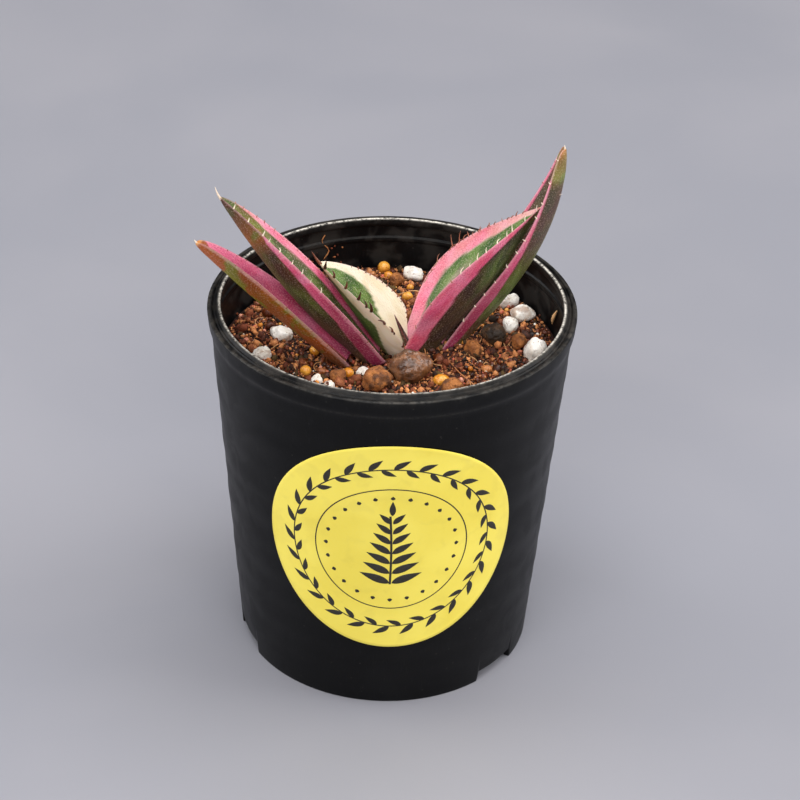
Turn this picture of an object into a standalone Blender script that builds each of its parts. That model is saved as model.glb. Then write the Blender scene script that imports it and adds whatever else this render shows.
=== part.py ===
"""Potted agave: a round black nursery pot with a round label, potting mix with loose grains on it,
and a small variegated agave whose leaves stand on a buried crown with thick roots.

Metres, +Z up. The origin is the centre of the pot's foot, on the surface that it stands on.
-Y is the side that the label faces, and +X is to the right of it.
"""

from dataclasses import dataclass
from math import atan, cos, hypot, pi, radians, sin

import bmesh
import bpy
import numpy as np
from mathutils import Vector
from mathutils.bvhtree import BVHTree

MM = 0.001
GAP = 0.3 * MM  # clearance between pieces that touch

# The pot
POT_HEIGHT = 95.0 * MM
FOOT_RADIUS = 37.3 * MM
RIM_RADIUS = 45.0 * MM  # outside of the rim bead
WALL = 1.2 * MM
BEAD_HEIGHT = 4.6 * MM
BEAD_PROUD = 0.5 * MM
BEAD_BELOW_CREST = 0.8 * MM
# The rim's outline from the bead's side over the groove to the crest: inwards, below the crest
RIM_OUTLINE = (
    (0.0 * MM, 1.6 * MM),
    (0.3 * MM, 1.0 * MM),
    (0.9 * MM, 0.7 * MM),
    (1.4 * MM, 1.1 * MM),
    (1.9 * MM, 0.5 * MM),
    (2.6 * MM, 0.0 * MM),
)
LIP_WIDTH = 3.4 * MM  # from the bead's outside to the lip's inner edge
LIP_THICKNESS = 1.6 * MM
SHOULDER_DROP = 6.2 * MM  # the stacking shoulder inside, below the rim
SHOULDER_PROUD = 0.4 * MM
FLOOR_THICKNESS = 1.2 * MM
FOOT_HEIGHT = 3.2 * MM  # the floor's underside above the table
FOOT_WALL = 1.5 * MM
EDGE_ROUNDING = 0.35 * MM
FLOOR_FILLET = 1.6 * MM
NOTCH_HEIGHT = 2.9 * MM
NOTCH_WIDTH = 13.0 * MM
NOTCH_FIRST_AT = -39.0  # degrees from +X
NOTCHES = 3
DRAIN_RADIUS = 1.9 * MM
DRAIN_RING_RADIUS = 22.0 * MM
DRAIN_RING_HOLES = 8
POT_SEGMENTS = 72

# The label, a disc of film wrapped on the wall
LABEL_RADIUS = 31.4 * MM
LABEL_THICKNESS = 0.2 * MM
LABEL_BELOW_BEAD = 7.9 * MM  # from the bead down to the label's edge
LABEL_TURN = 2.3  # degrees round from -Y towards +X

# The potting mix
HEADSPACE = 15.2 * MM  # from the rim's top down to the mix
MIX_WAVE = 0.35 * MM  # how far its top swells and dips
MIX_SEGMENTS = 56
MIX_RINGS = 7

# The crown, a short buried stem that the leaves stand on, with its main roots
CROWN_AT = (1.0 * MM, -1.4 * MM)
CROWN_HALF_LENGTH = 17.0 * MM
CROWN_HALF_WIDTH = 12.0 * MM
CROWN_DEPTH = 14.0 * MM
CROWN_TIP_RADIUS = 3.0 * MM
CROWN_BELOW_MIX = 1.6 * MM
CROWN_SEGMENTS = 28
ROOT_RADIUS = 1.2 * MM
ROOT_END_RADIUS = 0.5 * MM
ROOT_SIDES = 8
ROOT_STEPS = 7
# Each root: heading in degrees, reach outwards, fall below the crown's tip
ROOTS = (
    (20.0, 24.0 * MM, 30.0 * MM),
    (85.0, 20.0 * MM, 38.0 * MM),
    (140.0, 25.0 * MM, 26.0 * MM),
    (205.0, 22.0 * MM, 36.0 * MM),
    (262.0, 25.0 * MM, 28.0 * MM),
    (318.0, 19.0 * MM, 42.0 * MM),
)


@dataclass
class Leaf:
    """One leaf: a gutter that rises from its foot along a gently bending line to a pointed tip.

    foot is where its middle line leaves the mix, from the crown's centre. heading is its compass
    direction and sweep how far that turns by the tip; rise is its slope at the foot and at the tip;
    gutter is the slope of each half across the leaf; roll turns the gutter about the middle line.
    All angles are in degrees.
    """

    name: str
    foot: tuple
    heading: float
    sweep: float
    rise: tuple
    length: float
    half_width: float
    foot_share: float  # half-width at the foot, as a share of the widest
    widest_at: float  # where along the leaf it is widest
    taper: float  # exponent of the narrowing: under 1 is a blunt tip
    gutter: tuple
    roll: tuple
    thickness: float


LEAVES = (
    Leaf("leaf_outer_left", (-11.3 * MM, -3.9 * MM), 181.0, 5.7, (43.6, 42.0), 49.8 * MM,
         5.9 * MM, 0.83, 0.45, 0.44, (43.0, 52.0), (13.8, -5.9), 2.8 * MM),
    Leaf("leaf_middle_left", (-4.9 * MM, -2.9 * MM), 185.3, 1.0, (44.9, 57.3), 59.6 * MM,
         10.0 * MM, 0.55, 0.35, 0.70, (40.6, 55.1), (-8.4, 3.0), 2.4 * MM),
    Leaf("leaf_inner_left", (-0.2 * MM, 1.0 * MM), 171.5, 1.9, (54.9, 48.2), 30.8 * MM,
         12.1 * MM, 0.43, 0.25, 0.81, (48.0, 39.8), (-7.1, 5.3), 2.0 * MM),
    Leaf("leaf_inner_right", (6.8 * MM, 1.8 * MM), 13.9, 2.0, (49.5, 57.1), 47.8 * MM,
         15.3 * MM, 0.55, 0.37, 1.0, (57.5, 56.5), (15.8, 3.7), 1.8 * MM),
    Leaf("leaf_outer_right", (12.9 * MM, 2.6 * MM), 36.5, -55.6, (34.6, 89.7), 62.4 * MM,
         9.0 * MM, 0.41, 0.35, 0.38, (79.4, 28.4), (4.5, -7.7), 1.9 * MM),
    Leaf("spear_leaf", (4.1 * MM, 3.4 * MM), 172.0, 0.0, (63.0, 66.0), 10.8 * MM,
         0.9 * MM, 0.95, 0.2, 0.9, (25.0, 25.0), (0.0, 0.0), 1.0 * MM),
)
LEAF_STEPS = 18
LEAF_HALF_POINTS = 4  # points from the middle line to each margin
GUTTER_ROUNDING = 0.25  # share of the half-width over which the gutter's bottom is round


@dataclass
class Grain:
    """One loose grain on the mix: its kind, where it lies, its full sizes and its turn.

    at is (degrees from +X, share of the way from the pot's axis to the mix's edge); size is
    (length, breadth, height) and turn its heading in degrees.
    """

    kind: str
    at: tuple
    size: tuple
    turn: float


def grain(kind, bearing, share, length, breadth, height, turn=0.0):
    """A Grain whose sizes are given in millimetres."""
    return Grain(kind, (bearing, share), (length * MM, breadth * MM, height * MM), turn)


GRAINS = (
    grain("clay_lump", -67.0, 0.300, 10.6, 8.4, 7.6, 10),
    grain("clay_lump", -101.0, 0.400, 7.2, 6.6, 5.8, 40),
    grain("clay_lump", -131.5, 0.455, 4.4, 4.2, 3.6, 15),
    grain("clay_lump", -49.7, 0.560, 6.0, 4.8, 4.2, 5),
    grain("clay_lump", -2.0, 0.480, 4.4, 4.8, 4.4, 20),
    grain("clay_lump", 13.6, 0.620, 5.2, 7.0, 5.6, 60),
    grain("clay_lump", 8.0, 0.760, 3.8, 4.2, 4.0, 0),
    grain("clay_lump", 88.8, 0.780, 4.0, 4.0, 3.4, 30),
    grain("clay_lump", -62.0, 0.815, 5.2, 4.6, 3.8, 80),
    grain("clay_lump", -160.0, 0.800, 4.6, 4.2, 3.6, 50),
    grain("clay_lump", 140.0, 0.700, 4.8, 4.0, 3.6, 10),
    grain("pumice", -121.5, 0.292, 3.8, 3.2, 3.4, 20),
    grain("pumice", 82.0, 0.860, 5.6, 4.4, 3.8, -25),
    grain("pumice", 38.5, 0.930, 7.0, 4.0, 3.2, 25),
    grain("pumice", 27.5, 0.880, 6.6, 4.6, 4.2, 0),
    grain("pumice", 21.5, 0.760, 3.9, 4.2, 4.2, 70),
    grain("pumice", 41.0, 0.775, 2.8, 2.6, 2.6, 0),
    grain("pumice", -1.0, 0.845, 6.2, 5.6, 5.4, 35),
    grain("pumice", 170.8, 0.660, 6.6, 4.0, 3.4, -15),
    grain("pumice", -171.2, 0.760, 4.9, 3.8, 3.2, 30),
    grain("pumice", -137.5, 0.570, 3.2, 3.0, 2.9, 0),
    grain("pumice", -128.5, 0.560, 2.9, 2.8, 2.6, 45),
    grain("pumice", -110.0, 0.700, 4.4, 3.6, 3.2, 65),
    grain("pumice", -28.0, 0.800, 4.0, 3.4, 3.0, 15),
    grain("pumice", -86.0, 0.880, 3.6, 3.2, 2.8, 40),
    grain("fertiliser_pellet", -131.0, 0.370, 2.7, 2.6, 2.5),
    grain("fertiliser_pellet", -175.0, 0.450, 2.6, 2.5, 2.4),
    grain("fertiliser_pellet", -151.0, 0.560, 2.8, 2.7, 2.6),
    grain("fertiliser_pellet", 94.0, 0.930, 3.3, 3.2, 3.1),
    grain("fertiliser_pellet", 92.3, 0.845, 2.4, 2.3, 2.3),
    grain("fertiliser_pellet", 82.0, 0.735, 1.9, 1.8, 1.8),
    grain("fertiliser_pellet", 81.6, 0.600, 2.8, 2.6, 2.6),
    grain("fertiliser_pellet", -48.0, 0.440, 4.2, 3.0, 2.8, 10),
    grain("fertiliser_pellet", -78.0, 0.640, 2.8, 2.7, 2.6),
    grain("fertiliser_pellet", -120.0, 0.850, 2.7, 2.6, 2.6),
    grain("bark_chip", -12.6, 0.560, 3.7, 2.0, 0.9, -10),
    grain("bark_chip", -95.0, 0.560, 5.0, 2.4, 1.2, 30),
    grain("bark_chip", 118.0, 0.820, 5.4, 2.6, 1.2, 70),
)
GRAIN_DROP = 20.0 * MM  # height above the mix that a grain is let down from

# Lumpiness of each kind: share of its size, and how many swellings fit across it
LUMPINESS = {
    "clay_lump": (0.16, 1.5),
    "pumice": (0.30, 1.7),
    "fertiliser_pellet": (0.05, 1.2),
    "bark_chip": (0.25, 1.6),
}

# Colour (linear RGB) and roughness of each finish
FINISHES = {
    "pot": ((0.010, 0.010, 0.011), 0.42),
    "label": ((0.68, 0.60, 0.11), 0.45),
    "potting_mix": ((0.095, 0.036, 0.016), 0.95),
    "crown": ((0.42, 0.28, 0.16), 0.70),
    "leaf": ((0.090, 0.110, 0.035), 0.50),
    "spear_leaf": ((0.030, 0.018, 0.012), 0.60),
    "clay_lump": ((0.200, 0.075, 0.028), 0.85),
    "pumice": ((0.640, 0.590, 0.530), 0.90),
    "fertiliser_pellet": ((0.560, 0.270, 0.050), 0.45),
    "bark_chip": ((0.120, 0.095, 0.040), 0.85),
}

# Levels and radii that follow from the sizes above
FLOOR_TOP = FOOT_HEIGHT + FLOOR_THICKNESS
MIX_LEVEL = POT_HEIGHT - HEADSPACE
WALL_TAPER = (RIM_RADIUS - BEAD_PROUD - FOOT_RADIUS) / POT_HEIGHT
BEAD_LOW = POT_HEIGHT - BEAD_BELOW_CREST - BEAD_HEIGHT
LABEL_HEIGHT = BEAD_LOW - LABEL_BELOW_BEAD - LABEL_RADIUS  # its centre above the table
CROWN_TOP = MIX_LEVEL - CROWN_BELOW_MIX
CROWN_TIP = CROWN_TOP - CROWN_DEPTH


def wall_radius(z):
    """Outside radius of the pot's tapered wall at height z."""
    return FOOT_RADIUS + WALL_TAPER * z


def inside_radius(z):
    """Inside radius of the pot's wall at height z."""
    return wall_radius(z) - WALL


def finish(name):
    """The Principled material of this name, made on first use from FINISHES."""
    if name in bpy.data.materials:
        return bpy.data.materials[name]
    colour, roughness = FINISHES[name]
    material = bpy.data.materials.new(name)
    material.use_nodes = True
    shader = material.node_tree.nodes["Principled BSDF"]
    shader.inputs["Base Color"].default_value = (*colour, 1.0)
    shader.inputs["Roughness"].default_value = roughness
    shader.inputs["Metallic"].default_value = 0.0
    return material


def add_object(name, points, faces, material, smooth_below=40.0):
    """A mesh object with its faces turned outwards, shaded smooth up to an angle in degrees."""
    mesh = bpy.data.meshes.new(name)
    mesh.from_pydata([tuple(map(float, point)) for point in points], [], faces)
    edit = bmesh.new()
    edit.from_mesh(mesh)
    bmesh.ops.recalc_face_normals(edit, faces=edit.faces)
    edit.to_mesh(mesh)
    edit.free()
    mesh.shade_smooth()
    mesh.set_sharp_from_angle(angle=radians(smooth_below))
    mesh.materials.append(finish(material))
    made = bpy.data.objects.new(name, mesh)
    bpy.context.scene.collection.objects.link(made)
    return made


def add_helper(name, points, faces):
    """A closed mesh that a Boolean uses and that is no piece itself."""
    made = add_object(name, points, faces, "potting_mix")
    made.hide_render = True
    made.display_type = "WIRE"
    return made


def boolean(target, operation, helper):
    """Joins helper to target, or cuts it from it."""
    modifier = target.modifiers.new(helper.name, "BOOLEAN")
    modifier.operation = operation
    modifier.object = helper


def closed_loft(rings, start=None, end=None, around=False):
    """Points and faces of rings of equal length joined in turn.

    Each end is closed by a point, or by a flat face where it has none, unless the last ring joins
    the first because the loft goes all the way around.
    """
    rings = [np.asarray(ring, float) for ring in rings]
    count = len(rings[0])
    points = list(np.concatenate(rings))
    faces = []
    last = (len(rings) - 1) * count
    for low in range(0, last + count if around else last, count):
        high = (low + count) % (last + count)
        for i in range(count):
            j = (i + 1) % count
            faces.append((low + i, low + j, high + j, high + i))
    if around:
        return points, faces
    for first, tip in ((0, start), (last, end)):
        loop = [first + i for i in range(count)]
        if tip is None:
            faces.append(tuple(loop))
            continue
        points.append(np.asarray(tip, float))
        faces.extend((loop[i], loop[(i + 1) % count], len(points) - 1) for i in range(count))
    return points, faces


def circle(radius, z, segments):
    """Points of a level circle about the pot's axis."""
    turns = np.arange(segments) * 2 * pi / segments
    return np.stack([radius * np.cos(turns), radius * np.sin(turns), np.full(segments, z)], 1)


def turned(profile, segments):
    """A closed profile of (radius, z), clear of the pot's axis, turned about it."""
    return closed_loft([circle(radius, z, segments) for radius, z in profile], around=True)


def pot_profile():
    """The pot's section: middle drain hole, foot, wall, bead, groove, lip, stacking shoulder, floor."""
    edge = EDGE_ROUNDING
    lip_radius = RIM_RADIUS - LIP_WIDTH
    lip_low = POT_HEIGHT - LIP_THICKNESS
    chamfer_low = lip_low - (inside_radius(lip_low) - lip_radius)
    shoulder = POT_HEIGHT - SHOULDER_DROP
    fillet = FLOOR_FILLET
    return [
        (DRAIN_RADIUS, FOOT_HEIGHT),
        (FOOT_RADIUS - FOOT_WALL, FOOT_HEIGHT),
        (FOOT_RADIUS - FOOT_WALL, 0),
        (FOOT_RADIUS - edge, 0),
        (wall_radius(edge), edge),
        (wall_radius(BEAD_LOW - edge), BEAD_LOW - edge),
        (wall_radius(BEAD_LOW) + BEAD_PROUD, BEAD_LOW + edge),
        *((RIM_RADIUS - inwards, POT_HEIGHT - below) for inwards, below in RIM_OUTLINE),
        (lip_radius + edge, POT_HEIGHT - 0.3 * edge),
        (lip_radius, POT_HEIGHT - 2 * edge),
        (lip_radius, lip_low),
        (inside_radius(chamfer_low), chamfer_low),
        (inside_radius(shoulder + 2 * edge), shoulder + 2 * edge),
        (inside_radius(shoulder) - SHOULDER_PROUD, shoulder),
        (inside_radius(shoulder - 2 * edge) - SHOULDER_PROUD, shoulder - 2 * edge),
        (inside_radius(shoulder - 4 * edge), shoulder - 4 * edge),
        (inside_radius(FLOOR_TOP + fillet), FLOOR_TOP + fillet),
        (inside_radius(FLOOR_TOP) - 0.3 * fillet, FLOOR_TOP + 0.3 * fillet),
        (inside_radius(FLOOR_TOP) - fillet, FLOOR_TOP),
        (DRAIN_RADIUS, FLOOR_TOP),
    ]


def block(length, breadth, low, high, centre, turn):
    """The eight corners and six faces of a box, its length along the heading turn (radians)."""
    along = np.array([cos(turn), sin(turn)])
    across = np.array([-sin(turn), cos(turn)])
    corners = [
        (*(np.asarray(centre) + along * i * length / 2 + across * j * breadth / 2), z)
        for z in (low, high)
        for i, j in ((-1, -1), (1, -1), (1, 1), (-1, 1))
    ]
    faces = [(0, 1, 2, 3), (4, 5, 6, 7), (0, 1, 5, 4), (1, 2, 6, 5), (2, 3, 7, 6), (3, 0, 4, 7)]
    return corners, faces


def make_pot():
    """The pot with the notches of its foot and its drain holes."""
    pot = add_object("pot", *turned(pot_profile(), POT_SEGMENTS), "pot", smooth_below=35.0)
    margin = 2 * MM
    for i in range(NOTCHES):
        turn = radians(NOTCH_FIRST_AT + i * 360 / NOTCHES)
        reach = FOOT_RADIUS - FOOT_WALL / 2
        centre = (reach * cos(turn), reach * sin(turn))
        box = block(FOOT_WALL + 2 * margin, NOTCH_WIDTH, -margin, NOTCH_HEIGHT, centre, turn)
        boolean(pot, "DIFFERENCE", add_helper(f"notch_cutter_{i}", *box))
    for i in range(DRAIN_RING_HOLES):
        turn = 2 * pi * (i + 0.5) / DRAIN_RING_HOLES
        centre = (DRAIN_RING_RADIUS * cos(turn), DRAIN_RING_RADIUS * sin(turn), 0)
        sides = 12
        rings = [
            circle(DRAIN_RADIUS, z, sides) + centre
            for z in (FOOT_HEIGHT - margin, FLOOR_TOP + margin)
        ]
        boolean(pot, "DIFFERENCE", add_helper(f"drain_cutter_{i}", *closed_loft(rings)))


def on_wall(across, up, off):
    """A point of the wall's unrolled cone, off outside it.

    across and up are measured on the flat sheet from the label's centre. A cone unrolls into a fan, so
    the point's distance from the fan's tip gives its radius, and its angle there gives its turn.
    """
    slope = WALL_TAPER / hypot(1.0, WALL_TAPER)
    fan = wall_radius(LABEL_HEIGHT) / slope
    reach = hypot(across, fan + up)
    turn = atan(across / (fan + up)) / slope + radians(LABEL_TURN)
    radius = reach * slope
    z = (radius - FOOT_RADIUS) / WALL_TAPER
    lean = atan(WALL_TAPER)
    radius += off * cos(lean)
    return radius * sin(turn), -radius * cos(turn), z - off * sin(lean)


def make_label():
    """A thin disc wrapped on the wall, a gap off it."""
    rings = 6
    around = 44
    points = []
    for off in (GAP, GAP + LABEL_THICKNESS):
        points.append(on_wall(0.0, 0.0, off))
        for ring in range(1, rings + 1):
            radius = LABEL_RADIUS * ring / rings
            points.extend(
                on_wall(radius * sin(turn), radius * cos(turn), off)
                for turn in np.arange(around) * 2 * pi / around
            )
    sheet = 1 + rings * around
    faces = []
    for low in (0, sheet):
        for i in range(around):
            j = (i + 1) % around
            faces.append((low, low + 1 + i, low + 1 + j))
            for ring in range(rings - 1):
                inner = low + 1 + ring * around
                faces.append((inner + i, inner + around + i, inner + around + j, inner + j))
    edge = 1 + (rings - 1) * around
    for i in range(around):
        j = (i + 1) % around
        faces.append((edge + i, edge + j, sheet + edge + j, sheet + edge + i))
    add_object("label", points, faces, "label")


def mix_height(x, y):
    """Height of the mix's top: a gentle swell that is a little higher at the back."""
    swell = np.sin(x / (7.5 * MM) + 0.6) * np.cos(y / (9.0 * MM) - 0.4)
    return MIX_LEVEL + MIX_WAVE * (swell + y / (20.0 * MM))


def tube(points, radii):
    """A round-ended tube through points, with a radius at each."""
    points = np.asarray(points)
    turns = np.arange(ROOT_SIDES) * 2 * pi / ROOT_SIDES
    rings = []
    for i, radius in enumerate(radii):
        along = Vector(points[min(i + 1, len(points) - 1)] - points[max(i - 1, 0)]).normalized()
        side = along.cross(Vector((0, 0, 1))).normalized()
        up = side.cross(along)
        ring = np.outer(np.cos(turns), side) + np.outer(np.sin(turns), up)
        rings.append(points[i] + radius * ring)
    return closed_loft(rings, end=points[-1] + 0.8 * radii[-1] * np.asarray(along))


def crown_shape(grow, top):
    """The crown: an ellipse that narrows downwards to a blunt tip, grown outwards by grow."""
    levels = (0.0, 0.12, 0.35, 0.65, 0.90, 1.0)
    turns = np.arange(CROWN_SEGMENTS) * 2 * pi / CROWN_SEGMENTS
    rings = []
    for level in levels:
        spread = level**0.6
        length = CROWN_TIP_RADIUS + (CROWN_HALF_LENGTH - CROWN_TIP_RADIUS) * spread + grow
        width = CROWN_TIP_RADIUS + (CROWN_HALF_WIDTH - CROWN_TIP_RADIUS) * spread + grow
        z = CROWN_TIP + CROWN_DEPTH * level - (grow if level == 0 else 0)
        ring = [length * np.cos(turns), width * np.sin(turns), np.full(CROWN_SEGMENTS, z)]
        rings.append(np.stack(ring, 1) + (*CROWN_AT, 0))
    if top > CROWN_TOP:
        rings.append(rings[-1] + (0, 0, top - CROWN_TOP))
    return closed_loft(rings, start=(*CROWN_AT, rings[0][0][2] - 0.8 * MM))


def root_shape(heading, reach, fall, grow):
    """A main root: it leaves the crown's side, runs outwards and turns down as it goes."""
    turn = radians(heading)
    along = np.linspace(0, 1, ROOT_STEPS)
    out = reach * np.sin(along * pi / 2)
    down = fall * along**1.6
    start = CROWN_TIP + 0.35 * CROWN_DEPTH
    points = np.stack([out * cos(turn), out * sin(turn), start - down], 1) + (*CROWN_AT, 0)
    radii = ROOT_RADIUS + (ROOT_END_RADIUS - ROOT_RADIUS) * along + grow
    if grow:
        points[-1] += (points[-1] - points[-2]) * grow / np.linalg.norm(points[-1] - points[-2])
    return tube(points, radii)


def make_crown_and_mix():
    """The crown with its roots, and the mix with the pocket that they fill."""
    crown = add_object("crown_and_roots", *crown_shape(0.0, CROWN_TOP), "crown")
    bottom = FLOOR_TOP + GAP
    fillet = 2.0 * MM
    edge = inside_radius(MIX_LEVEL) - GAP
    rings = [
        circle(inside_radius(bottom) - GAP - fillet, bottom, MIX_SEGMENTS),
        circle(inside_radius(bottom) - GAP - 0.3 * fillet, bottom + 0.3 * fillet, MIX_SEGMENTS),
        circle(inside_radius(bottom + fillet) - GAP, bottom + fillet, MIX_SEGMENTS),
    ]
    for step in range(MIX_RINGS, 0, -1):
        ring = circle(edge * step / MIX_RINGS, 0.0, MIX_SEGMENTS)
        ring[:, 2] = mix_height(ring[:, 0], ring[:, 1])
        rings.append(ring)
    centre_top = (0, 0, mix_height(0.0, 0.0))
    mix = add_object(
        "potting_mix", *closed_loft(rings, start=(0, 0, bottom), end=centre_top), "potting_mix"
    )
    pocket = add_helper("pocket_cutter", *crown_shape(GAP, MIX_LEVEL + 4 * MM))
    boolean(mix, "DIFFERENCE", pocket)
    for i, root in enumerate(ROOTS):
        boolean(crown, "UNION", add_helper(f"root_{i}", *root_shape(*root, 0.0)))
        boolean(mix, "DIFFERENCE", add_helper(f"root_cutter_{i}", *root_shape(*root, GAP)))
    return crown, mix


def leaf_frames(leaf, back):
    """Points along a leaf's middle line, with its direction, its side and its upper face's normal.

    The line bends evenly: slope and heading change in step with the length. back is how far it is
    carried on below the foot, down to the crown.
    """
    share = np.linspace(0, 1, LEAF_STEPS)
    heading = np.radians(leaf.heading + leaf.sweep * share)
    rise = np.radians(leaf.rise[0] + (leaf.rise[1] - leaf.rise[0]) * share)
    along = np.stack(
        [np.cos(rise) * np.cos(heading), np.cos(rise) * np.sin(heading), np.sin(rise)], 1
    )
    step = leaf.length / (LEAF_STEPS - 1)
    foot = (CROWN_AT[0] + leaf.foot[0], CROWN_AT[1] + leaf.foot[1], MIX_LEVEL)
    run = np.concatenate([np.zeros((1, 3)), np.cumsum((along[1:] + along[:-1]) / 2 * step, 0)])
    points = run + foot
    points[0] -= along[0] * back
    side = np.stack([np.sin(heading), -np.cos(heading), 0 * heading], 1)
    normal = np.cross(side, along)
    roll = np.radians(leaf.roll[0] + (leaf.roll[1] - leaf.roll[0]) * share)[:, None]
    turned_side = side * np.cos(roll) + normal * np.sin(roll)
    turned_normal = normal * np.cos(roll) - side * np.sin(roll)
    return share, points, along, turned_side, turned_normal


def leaf_width(leaf, share):
    """Half-width along a leaf: a quarter sine up to the widest place, a power of cosine to the tip."""
    swelling = leaf.foot_share + (1 - leaf.foot_share) * np.sin(
        pi / 2 * np.clip(share / leaf.widest_at, 0, 1)
    )
    narrowing = np.cos(pi / 2 * np.clip((share - leaf.widest_at) / (1 - leaf.widest_at), 0, 1))
    return leaf.half_width * np.where(share < leaf.widest_at, swelling, narrowing**leaf.taper)


def leaf_rings(leaf, back=0.0):
    """Rings across a leaf, from its foot to just short of its tip, and the tip."""
    share, points, _, side, normal = leaf_frames(leaf, back)
    width = leaf_width(leaf, share)
    gutter = np.radians(leaf.gutter[0] + (leaf.gutter[1] - leaf.gutter[0]) * share)
    across = np.linspace(-1, 1, 2 * LEAF_HALF_POINTS + 1)
    upper = np.sqrt(across**2 + GUTTER_ROUNDING**2) - GUTTER_ROUNDING
    rings = []
    for i in range(LEAF_STEPS - 1):
        swell = (width[i] / leaf.half_width) ** 0.8 * (1.15 - 0.5 * share[i])
        thick = leaf.thickness * swell * np.sqrt(1 - across**2)
        out = width[i] * across * cos(gutter[i])
        face = width[i] * upper * sin(gutter[i])
        top = points[i] + np.outer(out, side[i]) + np.outer(face, normal[i])
        under = points[i] + np.outer(out, side[i]) + np.outer(face - thick, normal[i])
        rings.append(np.concatenate([top, under[-2:0:-1]]))
    return rings, points[-1]


def make_leaf(leaf):
    """A leaf whose foot's lowest point is a gap above the crown's top."""
    _, _, along, _, _ = leaf_frames(leaf, 0.0)
    rings, _ = leaf_rings(leaf)
    lowest = rings[0][:, 2].min()
    back = (lowest - CROWN_TOP - GAP) / along[0][2]
    rings, tip = leaf_rings(leaf, back)
    material = "spear_leaf" if leaf.name == "spear_leaf" else "leaf"
    add_object(leaf.name, *closed_loft(rings, end=tip), material)


def lump(kind, size, turn, number):
    """Points and faces of a lumpy ellipsoid, swollen here and there by a sum of three waves."""
    ball = bmesh.new()
    bmesh.ops.create_icosphere(ball, subdivisions=2, radius=1.0)
    unit = np.array([vertex.co[:] for vertex in ball.verts])
    faces = [tuple(vertex.index for vertex in face.verts) for face in ball.faces]
    ball.free()
    amount, swellings = LUMPINESS[kind]
    waves = sum(
        np.sin(swellings * pi * unit @ np.roll((1.0, 0.35, -0.5), axis) + 2.1 * number + 1.3 * axis)
        for axis in range(3)
    )
    points = unit * (1 + amount / 2 * waves / 3)[:, None] * np.array(size) / 2
    heading = radians(turn)
    across = points[:, 0] * cos(heading) - points[:, 1] * sin(heading)
    away = points[:, 0] * sin(heading) + points[:, 1] * cos(heading)
    return np.stack([across, away, points[:, 2]], 1), faces


def let_down(points, faces, supports):
    """How far a shape falls before it is a gap above one of the supports, which are BVH trees."""
    down = Vector((0, 0, -1))
    shape = BVHTree.FromPolygons([Vector(point) for point in points], faces)
    low, high = points.min(0), points.max(0)
    fall = [
        hit[3]
        for tree, _ in supports
        for hit in (tree.ray_cast(Vector(point), down) for point in points)
        if hit[3] is not None
    ]
    for _, corners in supports:
        near = corners[(corners[:, :2] > low[:2]).all(1) & (corners[:, :2] < high[:2]).all(1)]
        hits = (shape.ray_cast(Vector(corner), -down) for corner in near)
        fall.extend(hit[3] for hit in hits if hit[3] is not None)
    return min(fall) - GAP


def support_of(made):
    """The BVH tree and the corners of an object as its modifiers leave it."""
    graph = bpy.context.evaluated_depsgraph_get()
    mesh = made.evaluated_get(graph).to_mesh()
    corners = np.array([vertex.co[:] for vertex in mesh.vertices])
    faces = [tuple(face.vertices) for face in mesh.polygons]
    return BVHTree.FromPolygons([Vector(corner) for corner in corners], faces), corners


def make_grains(crown, mix):
    """The loose grains, each let down on the mix, the crown and the grains before it."""
    supports = [support_of(crown), support_of(mix)]
    edge = inside_radius(MIX_LEVEL) - GAP
    numbers = dict.fromkeys(LUMPINESS, 0)
    for entry in GRAINS:
        numbers[entry.kind] += 1
        number = numbers[entry.kind]
        points, faces = lump(entry.kind, entry.size, entry.turn, number)
        half = float(np.hypot(points[:, 0], points[:, 1]).max())
        bearing = radians(entry.at[0])
        reach = min(entry.at[1] * edge, edge - half - 2 * GAP)
        points = points + (reach * cos(bearing), reach * sin(bearing), MIX_LEVEL + GRAIN_DROP)
        points[:, 2] -= let_down(points, faces, supports)
        made = add_object(f"{entry.kind}_{number}", points, faces, entry.kind, smooth_below=60.0)
        supports.append(support_of(made))


def main():
    for old in list(bpy.data.objects):
        bpy.data.objects.remove(old)
    make_pot()
    make_label()
    crown, mix = make_crown_and_mix()
    bpy.context.view_layer.update()
    for leaf in LEAVES:
        make_leaf(leaf)
    make_grains(crown, mix)


main()
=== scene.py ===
# %% [markdown]
# # A potted agave
#
# A black nursery pot with a round yellow label, a gritty potting mix, and a small variegated agave.
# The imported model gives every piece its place. This lesson builds a finer surface around each of
# those plain solids, works out its colours, and lights it like a studio table.
#
# Loading the frame comes first: everything after it is placed by what it measures.

# %% Load the frame
import itertools
from collections import namedtuple
from math import cos, pi, radians, sin

import bpy
import numpy as np
from mathutils import Matrix, Vector


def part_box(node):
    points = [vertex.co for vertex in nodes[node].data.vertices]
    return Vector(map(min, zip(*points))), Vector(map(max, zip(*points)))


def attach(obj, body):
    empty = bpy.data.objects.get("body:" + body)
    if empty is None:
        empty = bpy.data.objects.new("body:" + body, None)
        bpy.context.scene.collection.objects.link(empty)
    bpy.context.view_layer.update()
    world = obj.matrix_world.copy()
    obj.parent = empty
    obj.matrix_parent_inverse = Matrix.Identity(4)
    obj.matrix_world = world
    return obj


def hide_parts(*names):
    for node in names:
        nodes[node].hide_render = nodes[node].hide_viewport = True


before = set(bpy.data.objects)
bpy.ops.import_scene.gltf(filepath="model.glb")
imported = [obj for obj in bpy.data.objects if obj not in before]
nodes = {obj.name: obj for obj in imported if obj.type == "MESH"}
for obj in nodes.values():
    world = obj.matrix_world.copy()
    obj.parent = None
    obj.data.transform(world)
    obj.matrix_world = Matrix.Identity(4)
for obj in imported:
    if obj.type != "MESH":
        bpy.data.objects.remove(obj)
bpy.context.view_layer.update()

MM = 0.001

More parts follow.
